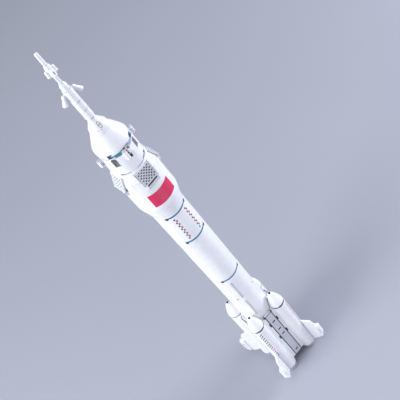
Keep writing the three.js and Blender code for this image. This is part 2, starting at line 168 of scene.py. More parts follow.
def loft(rings: Numbers, foot: Numbers | None = None, head: Numbers | None = None,
         closed: bool = False) -> Shell:
    """A skin over a row of rings with the same number of corners.

    Face (i, j) joins corner j and j + 1 of ring i to those of ring i + 1. The row ends in two fans
    of triangles, or its last ring is joined to its first.

    Args:
        rings: rings, corners and x y z, each ring anticlockwise as seen from the last one.
        foot: tip of the first fan, by default the middle of the first ring.
        head: tip of the last fan, by default the middle of the last ring.
        closed: join the last ring to the first, with no fans.

    Returns:
        A closed surface.
    """
    count, around = rings.shape[:2]
    grid = np.arange(count * around).reshape(count, around)
    lower = grid if closed else grid[:-1]
    upper = np.roll(grid, -1, axis=0) if closed else grid[1:]
    quads = np.stack([lower, np.roll(lower, -1, 1), np.roll(upper, -1, 1), upper], -1)
    quads, points = quads.reshape(-1, 4), rings.reshape(-1, 3)
    if closed:
        return Shell(points, quads, np.zeros(len(quads), int))
    tips = [rings[0].mean(0) if foot is None else foot, rings[-1].mean(0) if head is None else head]
    first, last, none = grid[0], grid[-1], np.full(around, -1)
    foot_fan = np.stack([np.full(around, len(points)), np.roll(first, -1), first, none], -1)
    head_fan = np.stack([np.full(around, len(points) + 1), last, np.roll(last, -1), none], -1)
    faces = np.concatenate([quads, foot_fan, head_fan])
    return Shell(np.concatenate([points, tips]), faces, np.zeros(len(faces), int))


def rounded(corners: Corners, closed: bool = False, steps: int = 4) -> Numbers:
    """A line through corners, each rounded off.

    The arc at a corner P is the parabola (1-t)^2 A + 2t(1-t) P + t^2 B, where A and B lie on the
    two sides at the corner's setback from P. One more point stands a little outside each end of
    the arc, so that the long sides shade as flat.

    Args:
        corners: two coordinates and a setback for each corner. A setback of 0 keeps it sharp.
        closed: the last corner leads back to the first.
        steps: pieces of each arc.

    Returns:
        One row of two coordinates for each point.
    """
    spots = np.array([corner[:2] for corner in corners], float)
    line = []
    for index, (spot, (_, _, setback)) in enumerate(zip(spots, corners)):
        if setback == 0 or (not closed and index in (0, len(spots) - 1)):
            line.append(spot[None])
            continue
        before, after = spots[index - 1] - spot, spots[(index + 1) % len(spots)] - spot
        before, after = before / np.hypot(*before), after / np.hypot(*after)
        t = np.linspace(0, 1, steps + 1)[:, None]
        curve = spot + setback * ((1 - t) ** 2 * before + t**2 * after)
        guard = 0.35 * setback
        line.append(np.vstack([curve[0] + guard * before, curve, curve[-1] + guard * after]))
    return np.concatenate(line)


def azimuth_lines(count: int = ROUND, half: float = 0.0) -> Numbers:
    """Azimuths once round the rocket.

    Args:
        count: how many even steps.
        half: if above 0, three lines stand this close together at each panel seam.

    Returns:
        The azimuths in degrees, in order.
    """
    lines = np.arange(count) * 360.0 / count - 180.0
    for seam in SEAM_AZIMUTHS if half else ():
        lines = lines[np.abs((lines - seam + 180) % 360 - 180) > 1.6 * half]
        lines = np.append(lines, [seam - half, seam, seam + half])
    return np.sort((lines + 180) % 360 - 180)


def revolve(profile: Numbers, azimuths: Numbers | int = ROUND, carve: Carve | None = None) -> Shell:
    """A profile of radius and height, turned about the long axis.

    A point at radius r and azimuth a is at x = r sin a, y = -r cos a.

    Args:
        profile: one row of radius and height for each point, from the axis up the outside and
            back to the axis.
        azimuths: the azimuths in degrees, or how many even steps.
        carve: gives each grid point's new radius from its azimuth, radius and height.

    Returns:
        A closed surface.
    """
    lines = azimuth_lines(azimuths) if isinstance(azimuths, int) else azimuths
    radius, angle = np.meshgrid(profile[1:-1, 0], np.radians(lines), indexing="ij")
    height = np.broadcast_to(profile[1:-1, 1, None], radius.shape)
    if carve:
        radius = carve(np.degrees(angle), radius, height)
    rings = np.stack([radius * np.sin(angle), -radius * np.cos(angle), height], -1)
    return loft(rings, *(np.array([0, 0, profile[end, 1]]) for end in (0, -1)))


def lathe(corners: Corners, azimuths: Numbers | int = ROUND, carve: Carve | None = None) -> Shell:
    """A turned solid with rounded corners, whose ends are flat.

    Args:
        corners: radius, height and setback, up the outside.
        azimuths: the azimuths in degrees, or how many even steps.
        carve: as in revolve().

    Returns:
        A closed surface.
    """
    ends = [(0.0, corners[end][1], 0.0) for end in (0, -1)]
    return revolve(rounded([ends[0], *corners, ends[1]]), azimuths, carve)


def drum(radius: float, low: float, high: float, azimuths: int = ROUND) -> Shell:
    """A plain upright cylinder between two heights."""
    return lathe([(radius, low, 0.0), (radius, high, 0.0)], azimuths)


def seam_carver(depth: float) -> Carve:
    """A rule for revolve() that sinks the line at each panel seam.

    Args:
        depth: how far it sinks.

    Returns:
        The rule.
    """
    def carve(azimuth: Numbers, radius: Numbers, height: Numbers) -> Numbers:
        """Radius less the depth on the lines at 45 degrees to the front."""
        return np.where(np.abs((azimuth + 45) % 90) < 1e-3, radius - depth, radius)

    return carve


def inset(outline: Numbers, depth: float) -> Numbers:
    """An anticlockwise outline moved inwards.

    Each point goes by depth, square to the line from its last neighbour to its next.

    Args:
        outline: one row of two coordinates for each point.
        depth: how far it moves.

    Returns:
        The smaller outline.
    """
    along = np.roll(outline, -1, 0) - np.roll(outline, 1, 0)
    along /= np.maximum(np.hypot(along[:, 0], along[:, 1])[:, None], 1e-9)
    return outline + depth * np.stack([-along[:, 1], along[:, 0]], 1)


def upright_rings(outlines: Sequence[Numbers], depths: Sequence[float]) -> Numbers:
    """Outlines of x and z as rings, each at its own distance in front of y = 0."""
    return np.stack([np.stack([line[:, 0], np.full(len(line), -y), line[:, 1]], 1)
                     for line, y in zip(outlines, depths)])


def edge_steps(edge: float, back: float, face: float) -> list[tuple[float, float]]:
    """Insets and depths of a rounded edge at the back and at the face: quarter circles.

    Args:
        edge: radius of the edge.
        back: distance of the back in front of y = 0.
        face: distance of the face in front of y = 0.

    Returns:
        Pairs of inset and depth, from the back to the face.
    """
    turn = np.radians([0, 30, 60, 90])
    front = [(edge * (1 - np.cos(a)), face - edge * (1 - np.sin(a))) for a in turn]
    return [(i, back + face - d) for i, d in reversed(front)] + front


def prism(outline: Numbers, back: float, face: float, edge: float = 0.15) -> Shell:
    """A plate of an outline in x and z, with rounded edges.

    Args:
        outline: anticlockwise as seen from the front.
        back: distance of its back in front of y = 0.
        face: distance of its front in front of y = 0.
        edge: radius of its edges.

    Returns:
        A closed surface.
    """
    steps = edge_steps(edge, back, face)
    steps = [(1.4 * edge, back), *steps, (1.4 * edge, face)]
    return loft(upright_rings([inset(outline, i) for i, _ in steps], [d for _, d in steps]))


def ring_prism(outer: Numbers, inner: Numbers, back: float, face: float,
               edge: float = 0.12) -> Shell:
    """A frame between two outlines with the same number of points, with rounded edges.

    The section goes round: out along the outer wall, over the face, back along the inner wall.

    Args:
        outer: outline of the outer wall, anticlockwise as seen from the front.
        inner: outline of the hole, the same way round.
        back: distance of its back in front of y = 0.
        face: distance of its front in front of y = 0.
        edge: radius of its edges.

    Returns:
        A closed surface.
    """
    steps = edge_steps(edge, back, face)
    outlines = [inset(outer, i) for i, _ in steps] + [inset(inner, -i) for i, _ in reversed(steps)]
    depths = [d for _, d in steps]
    return loft(upright_rings(outlines, depths + depths[::-1]), closed=True)


def rectangle(width: float, height: float, corner: float, x: float = 0.0,
              z: float = 0.0) -> Numbers:
    """An anticlockwise rectangle about x, z with rounded corners."""
    w, h = width / 2, height / 2
    return rounded([(x - w, z - h, corner), (x + w, z - h, corner), (x + w, z + h, corner),
                    (x - w, z + h, corner)], closed=True, steps=3)


def box(width: float, depth: float, height: float, x: float, y: float, z: float,
        edge: float = 0.2) -> Shell:
    """A box about x, y, z with rounded edges."""
    return prism(rectangle(width, height, edge, x, z), -y - depth / 2, -y + depth / 2, edge)


def oval(width: float, height: float, count: int = 12, z: float = 0.0) -> Numbers:
    """An anticlockwise ellipse about x = 0, z: half axes times cosine and sine of even steps."""
    angle = np.arange(count) * 2 * np.pi / count
    return np.stack([width / 2 * np.cos(angle), z + height / 2 * np.sin(angle)], 1)


def mark(outline: Numbers, sunk: float, proud: float, radius: float, azimuth: float = 0.0,
         edge: float = 0.02) -> Shell:
    """A small inlay or print of an outline, from sunk under a radius to proud of it."""
    return prism(outline, -sunk, proud, edge).wrapped(radius, azimuth)


def sheet(width: float, height: float, back: float, face: float, z: float,
          corner: float = 0.4) -> Shell:
    """A thin rectangle about x = 0, z on a grid fine enough to be wrapped round the rocket.

    Rows and columns are even, and those at the border lie close together: the outermost drop to
    the back, so that the sheet is closed. At the corners the rows are clipped to quarter circles.

    Args:
        width: size in x.
        height: size in z.
        back: distance of its back in front of y = 0.
        face: distance of its front in front of y = 0.
        z: height of its middle.
        corner: radius of its corners.

    Returns:
        A closed surface.
    """
    def lines(size: float, step: float) -> Numbers:
        """Even lines across a size, with the outermost a hair inside its border."""
        even, end = np.linspace(-size / 2, size / 2, max(int(size / step), 1) + 1), size / 2
        return np.concatenate([[-end, 0.02 - end], even[1:-1], [end - 0.02, end]])

    x, h = np.meshgrid(lines(width, 1.0), lines(height, 2.0))
    pull = np.clip((np.abs(x) / (width / 2) - 1) * width / 2 + corner, 0, None)
    lift = np.sqrt(np.clip(corner**2 - pull**2, 0, None))
    h = np.clip(h, -height / 2 + corner - lift, height / 2 - corner + lift)
    depth = np.full(x.shape, -face)
    depth[[0, -1], :] = depth[:, [0, -1]] = -back
    front = np.stack([x, depth, h + z], -1).reshape(-1, 3)
    quads = grid_quads(*x.shape).reshape(-1, 4)
    faces = np.concatenate([quads, quads[:, ::-1] + x.size])
    rear = front * [1, 0, 1] - [0, back, 0]
    return Shell(np.concatenate([front, rear]), faces, np.zeros(len(faces), int))


def arc(ends: tuple[float, float], radius: float, z: float, height: float, sunk: float,
        proud: float, corner: float) -> Shell:
    """A curved bar about the rocket: a sheet as wide as the arc between two azimuths.

    Args:
        ends: first and last azimuth.
        radius: radius that it is laid on.
        z: height of its middle.
        height: its size in z.
        sunk: how far its back lies under the radius.
        proud: how far its face stands out from the radius.
        corner: radius of its corners.

    Returns:
        A closed surface.
    """
    flat = sheet(np.radians(ends[1] - ends[0]) * radius, height, -sunk, proud, z, corner)
    return flat.wrapped(radius, (ends[0] + ends[1]) / 2)


def thicken(points: Numbers, faces: Places, back: float, face: float, lip: float = 0.01) -> Shell:
    """A flat sheet with holes, given a thickness.

    The sheet's copy at the back is turned over, and a wall stands on each edge that only one face
    uses. A third copy, a lip's depth below the front, splits the walls into two steps. The lower
    step of a hole's wall has the second finish, which the pieces use for painted shade deep in
    the holes.

    Args:
        points: x and z of the sheet's corners.
        faces: anticlockwise as seen from the front, with -1 last in a triangle.
        back: distance of its back in front of y = 0.
        face: distance of its front in front of y = 0.
        lip: depth that the walls of the holes keep the first finish for.

    Returns:
        A closed surface.
    """
    count = len(points)
    front = np.stack([points[:, 0], np.full(count, -face), points[:, 1]], 1)
    rear = front * [1, 0, 1] - [0, back, 0]
    turned_over = np.where(faces[:, [3]] < 0, faces[:, [2, 1, 0, 3]], faces[:, ::-1])
    turned_over = np.where(turned_over < 0, -1, turned_over + count)
    loops = [faces[(faces[:, 3] < 0) == (size == 3)][:, :size] for size in (3, 4)]
    start = np.concatenate([some.ravel() for some in loops])
    end = np.concatenate([np.roll(some, -1, 1).ravel() for some in loops])
    lone = ~np.isin(start * count + end, end * count + start)
    start, end = start[lone], end[lone]
    upper = np.stack([start, start + 2 * count, end + 2 * count, end], 1)
    lower = np.stack([start + 2 * count, start + count, end + count, end + 2 * count], 1)
    reach = np.abs((points[start] + points[end]) / 2 - (points.min(0) + points.max(0)) / 2)
    outer = np.any(reach > np.ptp(points, 0) / 2 - 1e-6, 1)
    paint = np.concatenate([np.zeros(2 * len(faces) + len(upper), int), np.where(outer, 0, 1)])
    return Shell(np.concatenate([front, rear, front + [0, lip, 0]]),
                 np.concatenate([faces, turned_over, upper, lower]), paint)


# Finishes


def linear(colour: str) -> tuple[float, float, float, float]:
    """An sRGB hex colour as linear red, green, blue and alpha.

    Args:
        colour: six hex digits after a hash.

    Returns:
        The four linear values.
    """
    channels = np.array([int(colour[i:i + 2], 16) for i in (1, 3, 5)]) / 255
    low, high = channels / 12.92, ((channels + 0.055) / 1.055) ** 2.4
    return (*np.where(channels <= 0.04045, low, high).tolist(), 1.0)


def add(tree: bpy.types.NodeTree, kind: str, inputs: dict[str, object] | None = None,
        stops: Sequence[tuple[float, str]] = ()) -> bpy.types.Node:
    """Add a node to a material.

    Args:
        tree: the material's node tree.
        kind: Blender's name for the node.
        inputs: for each input, a socket to link or else a value to set.
        stops: places and sRGB hex colours of a colour ramp's stops, if it is one.

    Returns:
        The new node.
    """
    node = tree.nodes.new(kind)
    for index, (position, colour) in enumerate(stops):
        stop = node.color_ramp.elements[index]
        stop.position, stop.color = position, linear(colour)
    for name, value in (inputs or {}).items():
        if isinstance(value, bpy.types.NodeSocket):
            tree.links.new(value, node.inputs[name])
        else:
            node.inputs[name].default_value = value
    return node


@dataclass(frozen=True)
class Finish:
    """What every finish has: its name, and a colour that drifts into a second one."""

    name: str
    colour: str
    second_colour: str

    def shader(self, tree: bpy.types.NodeTree, place: bpy.types.NodeSocket) -> bpy.types.Node:
        """The shader node, which each kind of finish makes in its own way."""
        raise NotImplementedError

    def material(self) -> bpy.types.Material:
        """The material, made once and then found by its name.

        Returns:
            The material.
        """
        if self.name in bpy.data.materials:
            return bpy.data.materials[self.name]
        material = bpy.data.materials.new(self.name)
        material.use_nodes = True
        tree = material.node_tree
        tree.nodes.clear()
        shader = self.shader(tree, add(tree, "ShaderNodeTexCoord").outputs["Object"])
        add(tree, "ShaderNodeOutputMaterial", {"Surface": shader.outputs["BSDF"]})
        return material


@dataclass(frozen=True)
class MouldedPlastic(Finish):
    """Injection-moulded ABS: hard, glossy, with an even colour that clouds a little where the melt
    flowed, a faint orange-peel surface, and hairline scuffs that only the gloss shows."""

    roughness: float = 0.24
    cloud_mm: float = 22.0         # size of a flow cloud
    peel_mm: float = 1.4           # orange peel, drawn coarse enough to show
    peel: float = 0.035
    scuff_mm: float = 6.0
    ior: float = 1.54              # ABS
    coat: float = 0.0

    def shader(self, tree: bpy.types.NodeTree, place: bpy.types.NodeSocket) -> bpy.types.Node:
        """Flow clouds in the colour, scuffs in the roughness and orange peel in the bump.

        Args:
            tree: the material's node tree.
            place: the Object coordinates.

        Returns:
            The shader node.
        """
        clouds = add(tree, "ShaderNodeTexNoise", {
            "Vector": place, "Scale": 1 / (self.cloud_mm * MM), "Detail": 3.0, "Roughness": 0.55})
        tone = add(tree, "ShaderNodeValToRGB", {"Fac": clouds.outputs["Fac"]},
                   ((0.32, self.second_colour), (0.68, self.colour)))
        scuffs = add(tree, "ShaderNodeTexNoise", {
            "Vector": place, "Scale": 1 / (self.scuff_mm * MM), "Detail": 6.0, "Roughness": 0.7})
        gloss = add(tree, "ShaderNodeMapRange", {
            "Value": scuffs.outputs["Fac"], "From Min": 0.3, "From Max": 0.75,
            "To Min": self.roughness * 0.85, "To Max": self.roughness * 1.3})
        peel = add(tree, "ShaderNodeTexNoise", {
            "Vector": place, "Scale": 1 / (self.peel_mm * MM), "Detail": 2.0})
        bump = add(tree, "ShaderNodeBump", {
            "Height": peel.outputs["Fac"], "Strength": self.peel, "Distance": 0.3 * MM})
        return add(tree, "ShaderNodeBsdfPrincipled", {
            "Base Color": tone.outputs["Color"], "Roughness": gloss.outputs["Result"],
            "IOR": self.ior, "Coat Weight": self.coat, "Normal": bump.outputs["Normal"]})


@dataclass(frozen=True)
class PrintedInk(Finish):
    """Pad-printed ink on ABS: a flat, slightly satin colour a few hundredths thick, with the fine
    mottle that the pad leaves."""

    roughness: float = 0.34
    mottle_mm: float = 0.9
    ior: float = 1.5               # acrylic ink

    def shader(self, tree: bpy.types.NodeTree, place: bpy.types.NodeSocket) -> bpy.types.Node:
        """One mottle in the colour and in the bump.

        Args:
            tree: the material's node tree.
            place: the Object coordinates.

        Returns:
            The shader node.
        """
        mottle = add(tree, "ShaderNodeTexNoise", {
            "Vector": place, "Scale": 1 / (self.mottle_mm * MM), "Detail": 4.0, "Roughness": 0.6})
        tone = add(tree, "ShaderNodeValToRGB", {"Fac": mottle.outputs["Fac"]},
                   ((0.35, self.second_colour), (0.6, self.colour)))
        bump = add(tree, "ShaderNodeBump", {
            "Height": mottle.outputs["Fac"], "Strength": 0.05, "Distance": 0.1 * MM})
        return add(tree, "ShaderNodeBsdfPrincipled", {
            "Base Color": tone.outputs["Color"], "Roughness": self.roughness,
            "IOR": self.ior, "Normal": bump.outputs["Normal"]})


WHITE_ABS = MouldedPlastic("moulded ABS white", "#F3F4F8", "#ECEEF4")
GREY_ABS = MouldedPlastic("moulded ABS grey", "#D6D6DF", "#CBCBD6", 0.3)
# painted shade, mid grey: in the motors' mouths and beside their webs, and under the nose cone's
# rim
SHADE_MID_GREY = MouldedPlastic("painted shade mid grey", "#777A88", "#6C6F7D", 0.4)
# grey: the booster bells, and painted shade in grooves, slots and notches
GREY_AND_GROOVE_SHADE = MouldedPlastic("moulded ABS grey and painted groove shade", "#A2A3AD", "#96979F", 0.4)
# off-white: painted shade on the fin brackets, painted light on the side fins' panels, and the tail
# strips' pale parts
PALE_ABS = MouldedPlastic("moulded ABS off-white", "#E3E4EA", "#DCDDE4")
# pale grey: the front grid fins and the ducts, and painted shade on the motors and along the side
# seats' edges
PALE_GREY_AND_SHADE = MouldedPlastic("moulded ABS pale grey and painted shade", "#CFD1D9", "#C4C6D0", 0.34, cloud_mm=8.0)
# painted shade: the deep part of the front and back grid fins' hole walls, their hole floors and
# hinge pins
LATTICE_HOLE_SHADE = MouldedPlastic("painted shade in lattice holes", "#22242E", "#1B1D26", 0.6)
TEAL_ABS = MouldedPlastic("moulded ABS teal", "#3F8799", "#367C90", 0.26)
STEEL_BLUE_ABS = MouldedPlastic("moulded ABS steel blue", "#33769F", "#2B6A94", 0.26)
# navy: the nose band's end blocks, and painted shade in the core bands' corners
NAVY_ABS = MouldedPlastic("moulded ABS navy and painted shade", "#1F3D4A", "#26496A", 0.26, cloud_mm=5.0)
# painted reflection: blue grey on the nose band's teal
BAND_REFLECTION_GREY = MouldedPlastic("painted reflection blue grey", "#A3B4C0", "#97A9B8")
# painted shade, dull blue: the ring under each booster nose
NOSE_RING_SHADE = MouldedPlastic("painted shade dull blue", "#3A4A60", "#5D6E84", 0.3, cloud_mm=5.0)
# dark grey: the engines, and painted shade in the flare's slots, the core's pin holes and the tail
# vents
DARK_GREY_AND_SHADE = MouldedPlastic("moulded ABS dark grey and painted shade", "#34353C", "#2B2C33", 0.38)
# black: painted shadow in gaps, ports and holes, and the tail strips' clips
SHADOW_ABS = MouldedPlastic("moulded ABS black and painted shadow", "#15161B", "#101116", 0.5)
SMOKED_PANE = MouldedPlastic("moulded ABS smoked grey", "#7B7C80", "#4C4B4B", 0.2, 5.0, coat=0.4)
FLAG_RED = PrintedInk("pad print red", "#E0265E", "#D62158")
CRIMSON = PrintedInk("pad print crimson", "#8A1A3A", "#7C1A36")
STROKE_RED = PrintedInk("pad print dull red", "#A02C4C", "#942848")
STROKE_DARK = PrintedInk("pad print plum black", "#3E2E3A", "#342632")
# grey: print on the skirt, and painted shade in the slots and the joint over the flare
MARK_GREY = PrintedInk("pad print grey and painted shade", "#9A9BA6", "#8E8F9B")


# Pieces


def heights(node: str) -> tuple[float, float]:
    """Lowest and highest point of a CAD node at rest, in millimetres."""
    low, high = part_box(node)
    return low[2] / MM, high[2] / MM


def make_piece(name: str, shell: Shell, finishes: Sequence[Finish], node: str = "",
               body: str = "rocket", bevel: float = 0.0) -> None:
    """Put a surface into the scene as a piece.

    Args:
        name: the piece's name.
        shell: its surface in millimetres.
        finishes: its materials, in the order of the shell's paint.
        node: the CAD node that it stands for, if any.
        body: the body that it rides.
        bevel: width of a Bevel modifier, or 0 for none.
    """
    mesh = bpy.data.meshes.new(name)
    corners = np.where(shell.faces[:, 3] < 0, 3, 4)
    starts = np.concatenate([[0], np.cumsum(corners)[:-1]])
    loops = shell.faces[shell.faces >= 0]
    mesh.vertices.add(len(shell.points))
    mesh.vertices.foreach_set("co", (shell.points * MM).astype(np.float32).ravel())
    mesh.loops.add(len(loops))
    mesh.loops.foreach_set("vertex_index", loops.astype(np.int32))
    mesh.polygons.add(len(corners))
    mesh.polygons.foreach_set("loop_start", starts.astype(np.int32))
    mesh.polygons.foreach_set("material_index", shell.paint.astype(np.int32))
    mesh.update(calc_edges=True)
    mesh.validate()
    for finish in finishes:
        mesh.materials.append(finish.material())
    mesh.polygons.foreach_set("use_smooth", np.ones(len(mesh.polygons), bool))
    mesh.set_sharp_from_angle(angle=np.radians(CREASE_DEGREES))
    piece = bpy.data.objects.new(name, mesh)
    bpy.context.scene.collection.objects.link(piece)
    if bevel:
        edge = piece.modifiers.new("edge", "BEVEL")
        edge.width, edge.segments, edge.limit_method = bevel * MM, 2, "ANGLE"
        edge.harden_normals = False
    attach(piece, body)
    if node:
        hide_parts(node)
    LOG.info("%s: %d faces", name, len(mesh.polygons))


@dataclass(frozen=True)
class EscapeTower:
    """The escape tower: tip rod, attitude motors, rod, collar, round bricks and two nozzles."""

    bar_radius: float = 1.6
    dome_rise: float = 1.5             # height of the tip rod's domed end
    pod_offset: float = 3.3            # a pod's axis from the tower's
    pod_radius: float = 1.6
    pod_bottom: float = 507.4
    pod_top: float = 513.6
    slot_rise: float = 3.2             # middle of a pod's slot above its bottom
    hub_radius: float = 2.8
    brick_radius: float = 4.0
    nozzle_splay: float = 24.7
    nozzle_head_radius: float = 5.3    # the nozzle's head from the tower's axis
    nozzle_head_z: float = 486.6
    nozzle_length: float = 8.5         # from its head to its mouth
    # distance down the nozzle from its head, radius
    throat: tuple[tuple[float, float], ...] = (
        (-0.9, 0.75), (-0.55, 1.25), (0.2, 1.5), (1.0, 1.58), (2.2, 1.58), (3.6, 1.64),
        (5.0, 1.78), (6.6, 2.0))
    mouth_radius: float = 2.2

    def build(self) -> None:
        """Make every piece of the tower."""
        self.tip_rod()
        self.attitude_motors()
        self.rod_and_collar()
        self.bricks()
        for side in (Side.LEFT, Side.RIGHT):
            self.nozzle(side)

    def tip_rod(self) -> None:
        """The bar at the very top, with a domed end: its profile ends in a quarter ellipse."""
        low, high = heights("tower_tip_rod")
        turn = np.radians(np.linspace(0, 90, 7))
        dome = [self.bar_radius * np.cos(turn), high - self.dome_rise * (1 - np.sin(turn))]
        dome[0][-1] = 0
        profile = np.vstack([[[0, low], [self.bar_radius, low]], np.stack(dome, 1)])
        make_piece("tip_rod", revolve(profile, SMALL_ROUND), [WHITE_ABS], "tower_tip_rod")

    def attitude_motors(self) -> None:
        """A hub with four pods, each with a slot in its outer face painted grey for its shade."""
        low, high = heights("attitude_motors")
        hub, r, bottom, top = self.hub_radius, self.pod_radius, self.pod_bottom, self.pod_top
        shells = [lathe([(hub - 0.7, low, 0.3), (hub, low + 2.2, 0.4), (hub, high - 2.8, 0.4),
                         (hub - 0.8, high, 0.3)], SMALL_ROUND)]
        pod = rounded([(0, bottom, 0), (r + 0.3, bottom, 0.25), (r, bottom + 1.6, 0.4),
                       (r, top - 1.6, 0.5), (r * 0.55, top - 0.2, 0.3), (0, top, 0)])
        slot = mark(oval(0.9, 3.2, 14, z=bottom + self.slot_rise), 0.3, 0.03, r).painted(1)
        for side in Side:
            shape = joined([revolve(pod, 28), slot]).moved(y=-self.pod_offset)
            shells.append(shape.turned(side.value))
        make_piece("attitude_pods", joined(shells), [WHITE_ABS, GREY_AND_GROOVE_SHADE], "attitude_motors")

    def rod_and_collar(self) -> None:
        """The thin rod, and the collar that steps down from the bricks to it."""
        low, high = heights("tower_rod")
        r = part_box("tower_rod")[1][0] / MM
        rod = lathe([(r, low, 0.1), (r, high, 0.1)], SMALL_ROUND)
        make_piece("thin_rod", rod, [WHITE_ABS], "tower_rod")
        low, high = heights("tower_collar")
        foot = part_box("tower_collar")[1][0] / MM
        collar = lathe([(foot, low, 0.2), (foot - 0.2, low + 1.2, 0.3),
                        (foot - 0.2, high - 3.4, 0.6), (2.0, high, 0.3)], SMALL_ROUND)
        make_piece("collar", collar, [WHITE_ABS], "tower_collar")

    def bricks(self) -> None:
        """Three round bricks, rounded rims, a notch at the front of each joint painted grey for its
        shade.
        """
        r = self.brick_radius
        for level in ("lower", "middle", "upper"):
            low, high = heights(f"tower_brick_{level}")
            brick = lathe([(r - 0.35, low - 0.25, 0), (r - 0.35, low + 0.15, 0),
                           (r, low + 0.2, 0.15), (r, high - 0.05, 0.15)], 56)
            notch = sheet(3.0, 0.8, -0.3, 0.02, low - 0.05, 0.2).wrapped(r, 2.0).painted(1)
            make_piece(f"round_brick_{level}", joined([brick, notch]), [WHITE_ABS, GREY_AND_GROOVE_SHADE],
                       f"tower_brick_{level}")

    def nozzle(self, side: Side) -> None:
        """A nozzle on an arm: it runs out and down from an angular head.

        Its path is a straight line at the splay, and then the same line back inside it with a
        smaller radius, which makes the open mouth. Ring i is path[i] + radius[i] (cos t X +
        sin t N), where N is square to X and to the line.

        Args:
            side: the side that it hangs on.
        """
        splay, wide, mouth = np.radians(self.nozzle_splay), self.mouth_radius, self.nozzle_length
        stations = np.array([
            *self.throat, (mouth - 0.35, wide), (mouth - 0.1, wide), (mouth, wide - 0.12),
            (mouth, wide - 0.3), (mouth - 0.2, wide - 0.42), (mouth - 1.0, wide - 0.7),
            (mouth - 2.4, wide - 1.0)])
        down = np.array([0, -np.sin(splay), -np.cos(splay)])
        head = np.array([0, -self.nozzle_head_radius, self.nozzle_head_z])
        angle = np.arange(32) * 2 * np.pi / 32
        normal = np.array([0, -down[2], down[1]])
        ring = np.cos(angle)[:, None] * [1.0, 0, 0] + np.sin(angle)[:, None] * normal
        tube = loft((head + stations[:, :1] * down)[:, None] + stations[:, 1, None, None] * ring)
        arm = box(2.3, 2.6, 2.2, 0, 0.9 + head[1], head[2] - 0.7, 0.35)
        name = side.name.lower()
        make_piece(f"nozzle_{name}", joined([tube, arm]).turned(side.value), [WHITE_ABS],
                   f"escape_nozzle_{name}")


